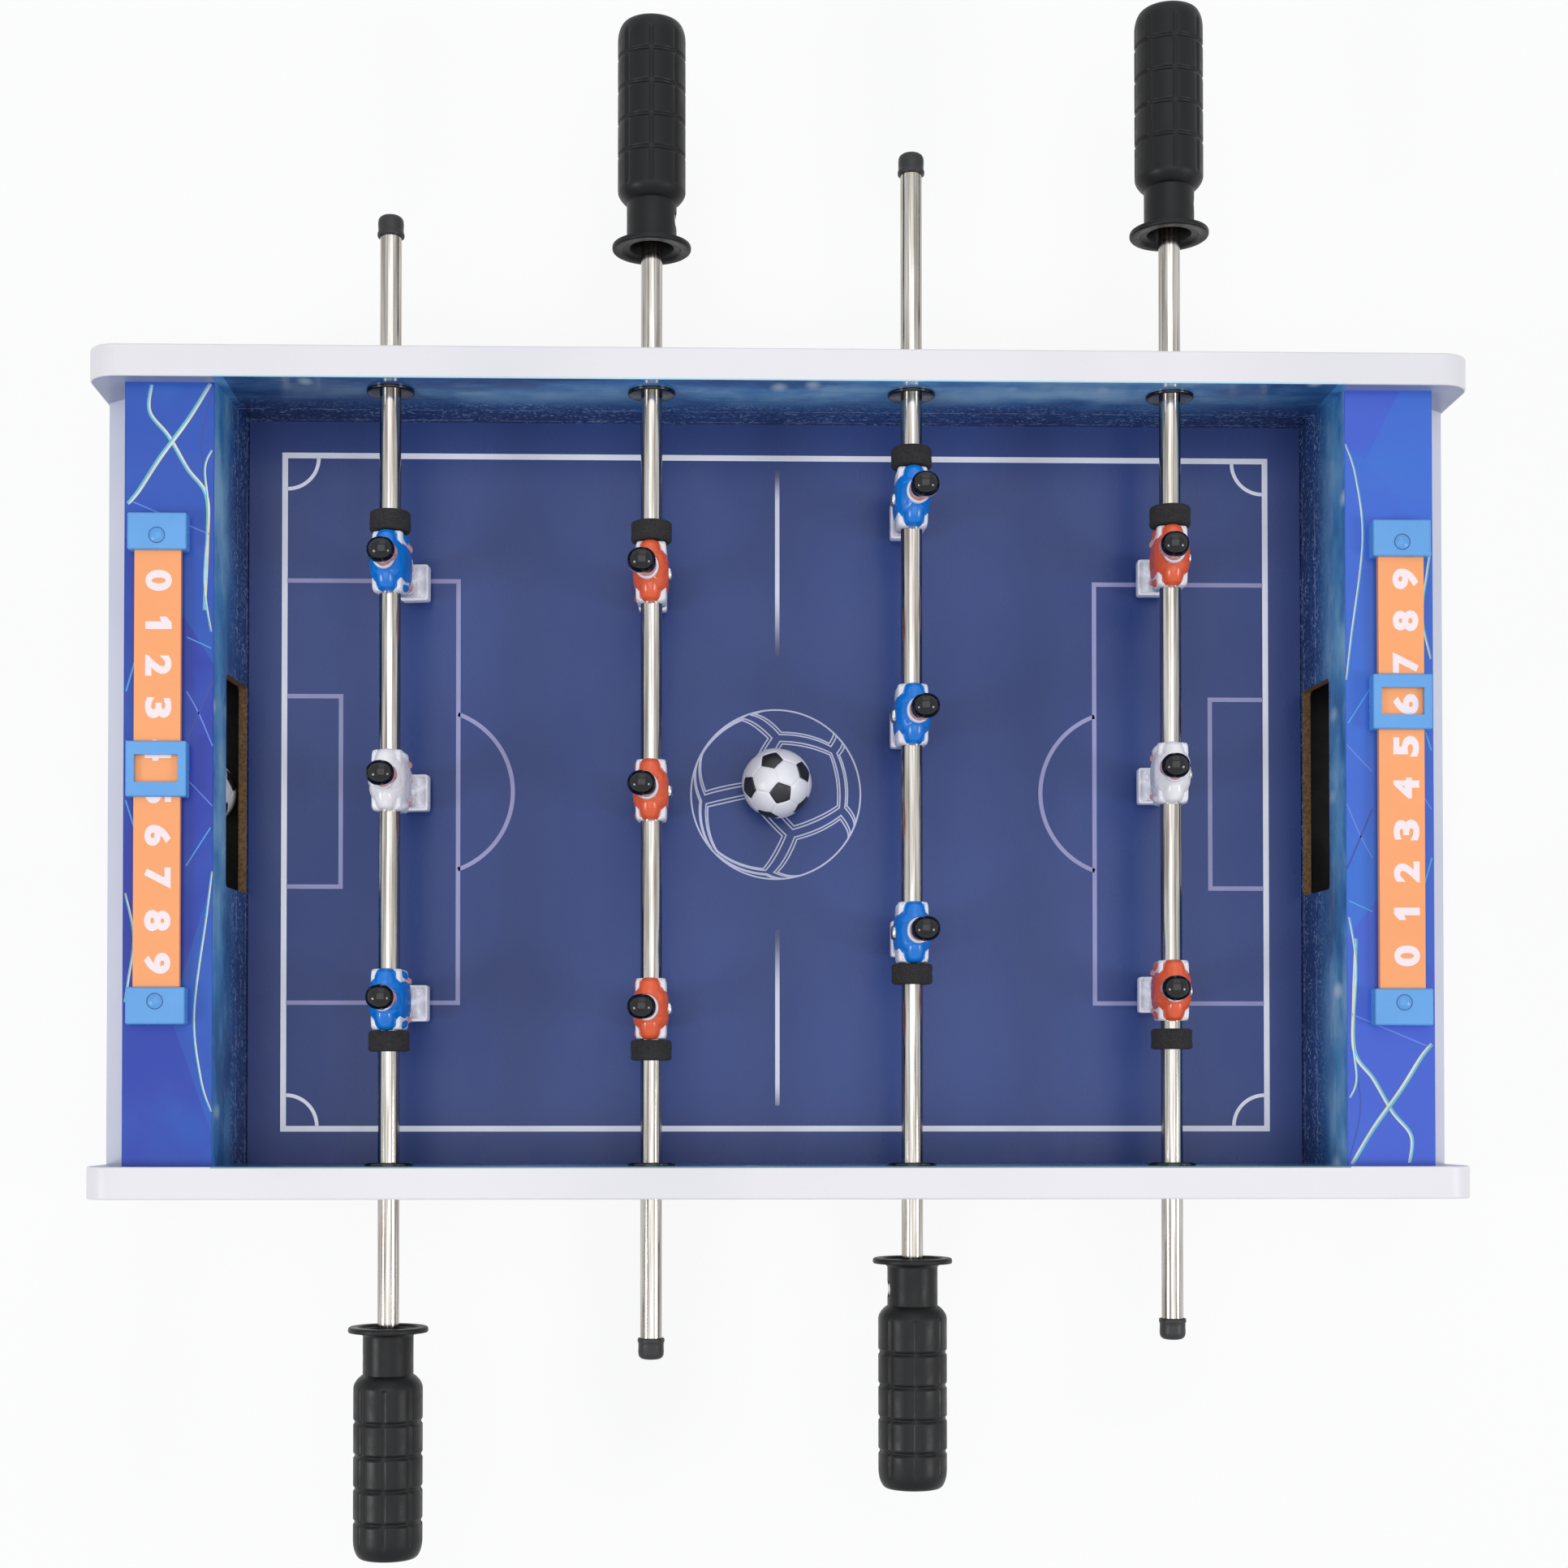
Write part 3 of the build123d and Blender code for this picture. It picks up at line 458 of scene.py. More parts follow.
def smooth_rows(rows, steps=4):
    """Catmull-Rom between rows of numbers."""
    out = []
    for k in range(len(rows) - 1):
        p0, p1, p2, p3 = (rows[max(0, min(len(rows) - 1, k + d))] for d in (-1, 0, 1, 2))
        for j in range(steps):
            t = j / steps
            out.append([0.5 * (2 * b + (c - a) * t + (2 * a - 5 * b + 4 * c - d) * t * t
                               + (3 * b - a - 3 * c + d) * t ** 3) for a, b, c, d in zip(p0, p1, p2, p3)])
    out.append(list(rows[-1]))
    return out


def slab(maker, outline, z0, z1, look=0):
    """A flat plate with a closed outline."""
    n = len(outline)
    points = [(x, y, z) for z in (z0, z1) for x, y in outline]
    faces = [[i, (i + 1) % n, n + (i + 1) % n, n + i] for i in range(n)]
    faces += [list(range(n))[::-1], list(range(n, 2 * n))]
    maker.add(points, faces, look)


def ribbon(maker, path, half, z0, z1, look=0, offset=0.0, closed=False):
    """A thin printed line of varying half width along a path in plan."""
    n = len(path)
    widths = half if isinstance(half, list) else [half] * n
    left, right = [], []
    for i in range(n):
        a = Vector(path[(i - 1) % n] if closed else path[max(0, i - 1)])
        b = Vector(path[i])
        c = Vector(path[(i + 1) % n] if closed else path[min(n - 1, i + 1)])
        first, second = (b - a), (c - b)
        first = first.normalized() if first.length > 1e-9 else second.normalized()
        second = second.normalized() if second.length > 1e-9 else first
        mean = (first + second).normalized()
        side = Vector((-mean.y, mean.x))
        grow = 1 / max(0.5, side.dot(Vector((-first.y, first.x))))
        left.append(b + side * (offset + widths[i]) * grow)
        right.append(b + side * (offset - widths[i]) * grow)
    points = [(p.x, p.y, z) for z in (z0, z1) for pair in zip(left, right) for p in pair]
    spans = n if closed else n - 1
    faces = []
    for i in range(spans):
        j = (i + 1) % n
        l0, r0, l1, r1 = 2 * i, 2 * i + 1, 2 * j, 2 * j + 1
        up = 2 * n
        faces += [[l0, l1, r1, r0], [up + l0, up + r0, up + r1, up + l1], [l0, up + l0, up + l1, l1],
                [r0, r1, up + r1, up + r0]]
    if not closed:
        e = 2 * (n - 1)
        faces += [[0, 1, 2 * n + 1, 2 * n], [e, 2 * n + e, 2 * n + e + 1, e + 1]]
    maker.add(points, faces, look)


def arc(cx, cy, r, a0, a1, n=48):
    return [(cx + r * math.cos(math.radians(a0 + (a1 - a0) * i / n)),
            cy + r * math.sin(math.radians(a0 + (a1 - a0) * i / n))) for i in range(n + 1)]


def curve_through(points, steps=10):
    return [tuple(p) for p in smooth_rows([list(p) for p in points], steps)]


# ------------------------------------------------------------------ field print

def solid_points():
    """The twelve directions of an icosahedron."""
    g = (1 + 5 ** 0.5) / 2
    made = []
    for a in (-1, 1):
        for b in (-g, g):
            made += [Vector((0, a, b)), Vector((a, b, 0)), Vector((b, 0, a))]
    return [v.normalized() for v in made]


def turn_to(first, second, to_first, to_second):
    """Rotation that takes one pair of directions to another."""
    def basis(a, b):
        a = a.normalized()
        c = a.cross(b).normalized()
        return Matrix((a, c.cross(a), c)).transposed()
    return basis(to_first, to_second) @ basis(first, second).transposed()


def panel_outlines():
    """The twelve five-sided panels of a ball, each shrunk towards its middle."""
    ico = solid_points()
    panels = []
    for i, a in enumerate(ico):
        mates = [b for j, b in enumerate(ico) if j != i and (a - b).length < 1.2]
        side = mates[0].cross(a).normalized()
        up = a.cross(side)
        mates.sort(key=lambda b: math.atan2(b.dot(side), b.dot(up)))
        corners = [(a + mates[k] + mates[(k + 1) % 5]).normalized() for k in range(5)]
        for keep in (0.9, 0.83):
            panels.append([(a * (1 - keep) + c * keep).normalized() for c in corners])
    return panels


def field_lines():
    z0, z1 = FIELD_Z / MM + INK_LOW, FIELD_Z / MM + INK_HIGH
    white = Maker("ink_white")
    w, h = BORDER_X, BORDER_Y
    ribbon(white, [(-w, -h), (w, -h), (w, h), (-w, h)], BORDER_HALF, z0, z1, closed=True)
    for sx in (-1, 1):
        for sy in (-1, 1):
            a0 = math.degrees(math.atan2(-sy, -sx)) - 45
            ribbon(white, arc(sx * (w - 1), sy * (h - 1), CORNER_RADIUS, a0, a0 + 90, 20), 0.7, z0, z1)
    white.build("field_border", "table", smooth=False)
    boxes = Maker("ink_lavender")
    for s in (-1, 1):
        for x, y in ((BOX_X, BOX_Y), (SMALL_BOX_X, SMALL_BOX_Y)):
            ribbon(boxes, [(s * BOX_END_X, y), (s * x, y), (s * x, -y), (s * BOX_END_X, -y)], BOX_HALF, z0,
                    z1)
        half = math.degrees(math.asin(BOX_ARC_REACH / BOX_ARC_RADIUS))
        middle = 0 if s < 0 else 180
        ribbon(boxes, arc(s * BOX_ARC_X, 0, BOX_ARC_RADIUS, middle - half, middle + half), 0.8, z0, z1)
    boxes.build("field_boxes", "table", smooth=False)
    halfway = Maker("ink_halfway")
    ribbon(halfway, [(0, y) for y in (53.5, 70, 90, 110, 126)], 0.85, z0, z1)
    ribbon(halfway, [(0, y) for y in (-53.3, -70, -90, -110, -121.8)], 0.85, z0, z1)
    halfway.build("field_halfway", "table", smooth=False)
    ring = Maker("ink_thin")
    cx, cy, r = BALL_PRINT_X, BALL_PRINT_Y, BALL_PRINT_RADIUS
    ribbon(ring, arc(cx, cy, r, 0, 357, 119), 0.32, z0, z1, closed=True)
    about_x, about_y, about_z = (Matrix.Rotation(math.radians(a), 3, axis) for a,
            axis in ((24, "X"), (31, "Y"), (12, "Z")))
    turn = about_x @ about_y @ about_z
    for n, corners in enumerate(panel_outlines()):
        line = []
        for k in range(5):
            a, b = turn @ corners[k], turn @ corners[(k + 1) % 5]
            line += [a.lerp(b, i / 14).normalized() for i in range(14)]
        seen = [p.z > RIM for p in line]
        lift = 0.004 * (n % 3 + 1)
        if all(seen):
            ribbon(ring, [(cx + r * p.x, cy + r * p.y) for p in line], 0.27, z0 + lift, z1 + lift,
                    closed=True)
        elif any(seen):
            first = next(i for i in range(len(line)) if seen[i] and not seen[i - 1])
            run = []
            for i in range(len(line)):
                p = line[(first + i) % len(line)]
                if p.z <= RIM:
                    break
                run.append((cx + r * p.x, cy + r * p.y))
            if len(run) > 3:
                ribbon(ring, run, 0.27, z0 + lift, z1 + lift)
    ring.build("field_centre_ball", "table", smooth=False)


# ------------------------------------------------------------------ rails' print

def streak(maker, path, half, level):
    """A bundle of coloured light lines, thin at both ends: green rim, cyan, pale core, warm rim."""
    path = curve_through(path)
    n = len(path)
    z0 = RAIL_Z / MM + 0.004
    taper = [0.35 + 0.65 * math.sin(math.pi * i / (n - 1)) ** 0.6 for i in range(n)]
    for k, (offset, share, look) in enumerate(((-0.8, 0.42, 2), (0.7, 0.42, 3), (-0.3, 0.42, 0),
            (0.1, 0.36, 1))):
        top = z0 + 0.02 + 0.006 * k + 0.03 * level
        ribbon(maker, path, [half * share * t for t in taper], z0, top, look, offset=offset * half)


def rail_streaks():
    z0, z1 = RAIL_Z / MM + 0.002, RAIL_Z / MM + 0.03
    for side, s in (("left", -1), ("right", 1)):
        low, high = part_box(f"top_rail_{side}")
        inner = min(abs(low.x), abs(high.x)) / MM + 1.2
        outer = max(abs(low.x), abs(high.x)) / MM - 1.0
        span = outer - inner

        def at(u, y):
            return (s * (inner + span * u), s * -y)
        maker = Maker("streak_cyan", "streak_pale", "streak_green", "streak_warm")
        streak(maker, [at(0.72, 143.0), at(0.74, 133.0), at(0.52, 124.0), at(0.3, 112.0), at(0.08, 102.0),
                at(0.07, 84.0), at(0.1, 60.0)], 0.62, 0)
        streak(maker, [at(0.04, 143.5), at(0.3, 130.0), at(0.62, 116.0), at(0.86, 104.0), at(0.99, 99.0)],
                0.7, 1)
        streak(maker, [at(0.02, 119.0), at(0.1, 112.0), at(0.06, 96.0), at(0.1, 70.0), at(0.02, 52.0)], 0.36,
                2)
        streak(maker, [at(0.0, -36.0), at(0.06, -52.0), at(0.2, -88.0), at(0.12, -112.0), at(0.0, -124.0)],
                0.34, 1)
        streak(maker, [at(1.0, -44.0), at(0.9, -60.0), at(0.96, -76.0), at(1.0, -84.0)], 0.4, 1)
        maker.build(f"rail_streaks_{side}", "table", smooth=False)
        faint = Maker("streak_faint", "streak_dark", "streak_cyan")
        for path, half, look in (
                ([at(0.95, 100.0), at(0.5, 94.0), at(0.05, 88.0)], 0.25, 0),
                ([at(0.02, 46.0), at(0.3, 50.0)], 0.22, 2),
                ([at(0.0, 10.0), at(0.16, 22.0), at(0.3, 30.0)], 0.25, 0),
                ([at(0.0, -12.0), at(0.3, -2.0)], 0.22, 0),
                ([at(0.0, 34.0), at(0.3, 12.0)], 0.3, 1), ([at(0.02, -20.0), at(0.3, -34.0)], 0.22, 2),
                ([at(1.0, 30.0), at(0.9, 41.0)], 0.3, 2), ([at(1.0, -10.0), at(0.88, -22.0)], 0.3, 2),
                ([at(1.0, 12.0), at(0.88, 6.0)], 0.25, 0),
                ([at(0.0, 143.0), at(0.14, 124.0), at(0.1, 108.0)], 0.22, 1)):
            ribbon(faint, curve_through(path, 6), half, z0, z1, look)
        faint.build(f"rail_traces_{side}", "table", smooth=False)


# ------------------------------------------------------------------ scorers

def digit(text, x, y, turn, name):
    """One printed numeral, thickened and rounded; the 1 is drawn with its flag."""
    if text == "1":
        curve = bpy.data.curves.new(name, "CURVE")
        curve.dimensions, curve.fill_mode = "2D", "BOTH"
        spline = curve.splines.new("POLY")
        corners = ((-0.5, 4.1), (1.2, 4.1), (1.2, -4.1), (-0.5, -4.1), (-0.5, 1.7), (-2.3, 1.1), (-2.3, 2.5))
        spline.points.add(len(corners) - 1)
        for point, (u, v) in zip(spline.points, corners):
            point.co = (u * MM, v * MM, 0, 1)
        spline.use_cyclic_u = True
    else:
        curve = bpy.data.curves.new(name, "FONT")
        curve.body, curve.size, curve.resolution_u = text, 0.0117, 8
    curve.extrude, curve.bevel_depth, curve.bevel_resolution = 0.0002, 0.00056, 3
    obj = bpy.data.objects.new(name, curve)
    bpy.context.scene.collection.objects.link(obj)
    bpy.context.view_layer.update()
    mesh = bpy.data.meshes.new_from_object(obj.evaluated_get(bpy.context.evaluated_depsgraph_get()))
    bpy.data.objects.remove(obj)
    xs = [v.co.x for v in mesh.vertices]
    ys = [v.co.y for v in mesh.vertices]
    mid = Vector(((min(xs) + max(xs)) / 2, (min(ys) + max(ys)) / 2, 0))
    wide, tall = DIGIT_WIDE * MM / (max(xs) - min(xs)), DIGIT_TALL * MM / (max(ys) - min(ys))
    squeeze = Matrix.Diagonal((1.0 if text == "1" else wide, tall, 0.03, 1))
    spin = Matrix.Rotation(math.radians(turn), 4, "Z")
    place = Matrix.Translation((x * MM, y * MM, BAR_Z + 0.00003)) @ spin
    mesh.transform(place @ squeeze @ Matrix.Translation(-mid))
    mesh.materials.clear()
    mesh.materials.append(LOOKS["ink_digit"])
    piece = bpy.data.objects.new(name, mesh)
    bpy.context.scene.collection.objects.link(piece)
    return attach(piece, "table")


def small_lines():
    """Painted highlights along the side panels' inner top edges, and a ring of painted shade round each plug.
    """
    z = PANEL_Z / MM
    # bright lines on the panels' inner top edges: painted highlights, cyan-white at the back, grey-green at
    # the front
    for name, side, look in (("back", 1, "edge_highlight_cyan"), ("front", -1, "edge_highlight_green")):
        line = Maker(look)
        y = side * (INNER_Y / MM + 0.28)
        ribbon(line, [(-208.0, y), (208.0, y)], 0.24, z - 0.02, z + 0.03)
        line.build(f"panel_edge_highlight_{name}", "table", smooth=False)
    # a darker blue ring round each plug: painted shade in its gap
    gaps = Maker("plug_ring_shade")
    top = CLIPS_Z / MM
    spots = [v.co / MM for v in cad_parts["clip_plugs"].data.vertices]
    for sx in (-1, 1):
        for sy in (-1, 1):
            mine = [p for p in spots if p.x * sx > 0 and (p.y - CLIPS_MIDDLE_Y) * sy > 0]
            cx = (min(p.x for p in mine) + max(p.x for p in mine)) / 2
            cy = (min(p.y for p in mine) + max(p.y for p in mine)) / 2
            ribbon(gaps, arc(cx, cy, PLUG_GAP_RADIUS, 0, 350, 35), 0.2, top - 0.02, top + 0.03, closed=True)
    gaps.build("plug_shade_rings", "table", smooth=False)


def digits():
    for n in range(10):
        digit(str(n), -228.2, 70.0 - 15.55 * n, -90, f"digit_left_{n}")
        digit(str(n), 230.2, -66.6 + 15.5 * n, 90, f"digit_right_{n}")


# ------------------------------------------------------------------ balls

def make_ball(node, body, first, second):
    low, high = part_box(node)
    middle, radius = (low + high) / 2, (high.x - low.x) / 2
    ico = solid_points()
    mate = next(v for v in ico if 0.1 < (v - ico[0]).length < 1.2)
    turn = turn_to(ico[0], mate, first, second)
    pent = [turn @ v for v in ico]
    hexes = []
    for i in range(12):
        for j in range(i + 1, 12):
            for k in range(j + 1, 12):
                if all((pent[a] - pent[b]).length < 1.2 for a, b in ((i, j), (j, k), (i, k))):
                    hexes.append((pent[i] + pent[j] + pent[k]).normalized())
    bpy.ops.mesh.primitive_ico_sphere_add(subdivisions=7, radius=1)
    obj = bpy.context.object
    obj.name = f"{node}_panels"
    mesh = obj.data
    corner = (pent[0] * 2 + min(pent[1:], key=lambda v: (v - pent[0]).length)).normalized()
    touching = min(hexes, key=lambda h: (h - corner).length)
    bias = corner.dot(touching) - corner.dot(pent[0])

    def scores(n):
        rank = sorted([(n.dot(p) + bias, 1) for p in pent] + [(n.dot(h), 0) for h in hexes], reverse=True)
        return rank[0][0] - rank[1][0], rank[0][1]
    marks = []
    for p in mesh.polygons:
        marks.append(scores(p.center.normalized())[1])
    for v in mesh.vertices:
        n = v.co.normalized()
        gap, kind = scores(n)
        seam = max(0.0, 1 - gap / 0.035)
        puff = min(1.0, gap / 0.25)
        v.co = middle + n * radius * (1 - 0.012 + 0.012 * puff - 0.022 * seam * seam)
    mesh.materials.clear()
    for key in ("ball_white", "ball_black"):
        mesh.materials.append(LOOKS[key])
    mesh.polygons.foreach_set("material_index", marks)
    mesh.polygons.foreach_set("use_smooth", [True] * len(mesh.polygons))
    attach(obj, body)
    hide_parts(node)


# ------------------------------------------------------------------ handles

def grip_radius(t):
    """The handle's outline at a distance from its mouth."""
    if t < 2.2:
        return FLANGE_RADIUS - 0.35 * (abs(t - 1.1) / 1.1) ** 4 * 1.6
    if t < 3.4:
        u = (t - 2.2) / 1.2
        return 10.6 - 1.3 * math.sin(u * math.pi / 2)
    if t < 17.6:
        return NECK_RADIUS
    if t < GRIP_START:
        u = (t - 17.6) / 4.9
        return NECK_RADIUS + 3.4 * math.sin(u * math.pi / 2) ** 0.8
    if t < GRIP_END:
        return GRIP_RADIUS
    u = min(1.0, (t - GRIP_END) / 7.0)
    return GRIP_RADIUS - 3.1 * (1 - math.sqrt(max(0.0, 1 - u * u)))


def bell(x, half):
    """A smooth groove section, 1 in the middle and 0 past its half width."""
    u = min(1.0, abs(x) / half)
    return (1 - u * u) ** 2 if u < 1 else 0.0


def make_handle(rod):
    node = f"rod_{rod}_handle"
    low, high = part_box(node)
    middle = (low + high) / 2 / MM
    outward = 1 if middle.y > 0 else -1
    mouth = (low.y if outward > 0 else high.y) / MM
    facing, tilt = FACING[rod - 1], -FACING[rod - 1] * math.radians(FEET_FORWARD[rod - 1])
    back = Vector((-facing * math.cos(tilt), 0, facing * math.sin(tilt)))
    screw_angle = math.atan2(back.z, back.x)
    n = 160
    stations = [2.2 * i / 8 for i in range(9)] + [2.201, 2.5, 2.9, 3.4]
    stations += [3.4 + 0.45 * i for i in range(1, 31)] + [17.2 + 0.35 * i for i in range(1, 170)]
    stations = [t for t in stations if t <= 77.5]
    stations += [GRIP_END + 7.0 * math.sin(math.pi / 2 * i / 18) for i in range(19)]
    rings = []
    # bore: floor, wall, mouth with an inner step
    for t, r in ((8.0, 4.3), (8.0, 8.0), (7.6, 8.2), (1.2, 8.2), (1.0, 8.4), (0.9, 10.6), (0.7, 10.8),
            (0.25, 11.0), (0.0, 11.3), (0.0, 13.9)):
        rings.append([(t, r, a) for a in turns(n)])
    for t in stations:
        row = []
        for a in turns(n):
            r = grip_radius(t)
            if 21.5 < t < 80.5:
                column = (a * 8 / (2 * math.pi)) % 1.0
                arc_off = min(column, 1 - column) * 2 * math.pi * r / 8
                channel = bell(arc_off, 1.15)
                ends = min(1.0, (t - 21.5) / 1.6, (80.5 - t) / 1.6)
                cross = max(bell(t - (GRIP_START + 12.2 * (k + 1)), 1.1) for k in range(4))
                r -= ends * (0.55 * channel + 0.8 * cross * (1 - 0.85 * min(1.0, channel * 1.5)))
            if 7.5 < t < 15.5:
                turn = (a - screw_angle + math.pi) % (2 * math.pi) - math.pi
                off = math.hypot(t - SCREW_AT, turn * NECK_RADIUS)
                r -= RECESS_DEPTH * min(1.0, max(0.0, (SCREW_RECESS - off) / 0.5))
            row.append((t, r, a))
        rings.append(row)
    maker = Maker("black_plastic")
    done = []
    for row in rings:
        ring = []
        for t, r, a in row:
            ring.append(Vector((middle.x + r * math.cos(a), mouth + outward * t, middle.z + r * math.sin(a))))
        done.append(ring if outward < 0 else ring[::-1])
    for k in range(1, 8):
        r = TIP_RADIUS * math.cos(k / 8 * math.pi / 2)
        ring = hoop(middle.x, mouth + outward * HANDLE_LENGTH, middle.z, r, n)
        done.append(ring if outward < 0 else ring[::-1])
    maker.loft(done, 0)
    piece = maker.build(f"rod_{rod}_grip", f"rod_{rod}", crease=50)
    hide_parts(node)


# ------------------------------------------------------------------ bumpers and end caps

def lathe(maker, profile, axis_x, axis_z, n=72, look=0, rough=0.0, seed=0):
    """Turns (y, radius) stations about a line along Y into a closed skin."""
    rings = []
    for y, r in profile:
        ring = []
        for a in turns(n):
            wave = rough * noise.noise(Vector((y * 0.6 + seed, r * math.cos(a) * 0.6, r * math.sin(a) * 0.6)))
            ring.append(Vector((axis_x + (r + wave) * math.cos(a), y, axis_z + (r + wave) * math.sin(a))))
        rings.append(ring[::-1])
    count = len(rings)
    faces = [[k % count * n + i, k % count * n + (i + 1) % n, (k + 1) % count * n + (i + 1) % n,
            (k + 1) % count * n + i]
             for k in range(count) for i in range(n)]
    maker.add([p for ring in rings for p in ring], faces, look)


def islands(node):
    """Each separate solid of a node as a (low, high) pair along Y, found by its gaps."""
    ys = sorted(v.co.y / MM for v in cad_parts[node].data.vertices)
    groups = [[ys[0], ys[0]]]
    for y in ys:
        if y - groups[-1][1] > 20:
            groups.append([y, y])
        groups[-1][1] = y
    return groups


def make_bumpers(rod):
    node = f"rod_{rod}_bumpers"
    low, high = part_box(node)
    x, z, r = (low.x + high.x) / 2 / MM, (low.z + high.z) / 2 / MM, (high.x - low.x) / 2 / MM
    for k, (y0, y1) in enumerate(islands(node)):
        edge, roll = 1.1, (0.35, 0.8, 1.2, 1.57)
        profile = [(y0 + 0.2, 4.1), (y0, 4.5)] + [(y0, 4.5 + (r - edge - 4.5) * j / 4) for j in range(1, 5)]
        profile += [(y0 + edge * (1 - math.cos(a)), r - edge * (1 - math.sin(a))) for a in roll]
        profile += [(y0 + edge + (y1 - y0 - 2 * edge) * j / 8,
                r - 0.06 * math.sin(math.pi * j / 8)) for j in range(1, 8)]
        profile += [(y1 - edge * (1 - math.cos(a)), r - edge * (1 - math.sin(a))) for a in roll[::-1]]
        profile += [(y1, 4.5 + (r - edge - 4.5) * j / 4) for j in range(4, 0, -1)] + [(y1, 4.5),
                (y1 - 0.2, 4.1)]
        maker = Maker("foam_rubber")
        lathe(maker, profile, x, z, 84, rough=0.14, seed=rod * 7 + k * 3)
        piece = maker.build(f"rod_{rod}_foam_{k + 1}", f"rod_{rod}_bumpers", crease=60)
        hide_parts(node)


def make_cap(rod):
    node = f"rod_{rod}_end_cap"
    low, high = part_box(node)
    x, z, r = (low.x + high.x) / 2 / MM, (low.z + high.z) / 2 / MM, (high.x - low.x) / 2 / MM
    outward = 1 if low.y > 0 else -1
    inner, outer = (low.y, high.y) if outward > 0 else (high.y, low.y)
    inner, outer = inner / MM, outer / MM
    rows = [(0.0, 4.05), (0.0, r - 0.5), (0.2, r - 0.1), (0.7, r), (1.4, r), (1.8, r - 0.25), (3.0, r - 0.3),
            (5.2, r - 0.22), (6.4, r - 0.35),
            (7.2, r - 0.8), (7.7, r - 1.5), (7.95, r - 2.6), (8.0, r - 3.8), (8.0, 0.4)]
    rows = [(inner + outward * t, rr) for t, rr in rows]
    if outward < 0:
        rows = rows[::-1]
    maker = Maker("cap_rubber")
    rings = [hoop(x, y, z, rr, 64)[::-1] for y, rr in rows]
    maker.loft(rings, 0)
    piece = maker.build(f"rod_{rod}_ferrule", f"rod_{rod}", crease=60)
    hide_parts(node)


# ------------------------------------------------------------------ players

def blob(maker, centre, size, look, n=40, power=2.0, turn=Matrix.Identity(3)):
    """A closed ellipsoid-like form, built ring by ring."""
    rings = []
    for j in range(1, 24):
        a = -math.pi / 2 + math.pi * j / 24
        ring = []
        for b in turns(n):
            c, s = math.cos(b), math.sin(b)
            x = math.copysign(abs(c) ** (2 / power), c) * math.cos(a)
            y = math.copysign(abs(s) ** (2 / power), s) * math.cos(a)
            ring.append(Vector(centre) + turn @ Vector((x * size[0], y * size[1], math.sin(a) * size[2])))
        rings.append(ring)
    maker.loft(rings, look)


def limb(maker, path, look, n=24):
    """A tapered tube through (x, y, z, radius x, radius y) stations, ringed in plan."""
    rows = smooth_rows(path, 4)
    maker.loft([oval(x, y, z, rx, ry, 2.3, n) for x, y, z, rx, ry in rows], look)


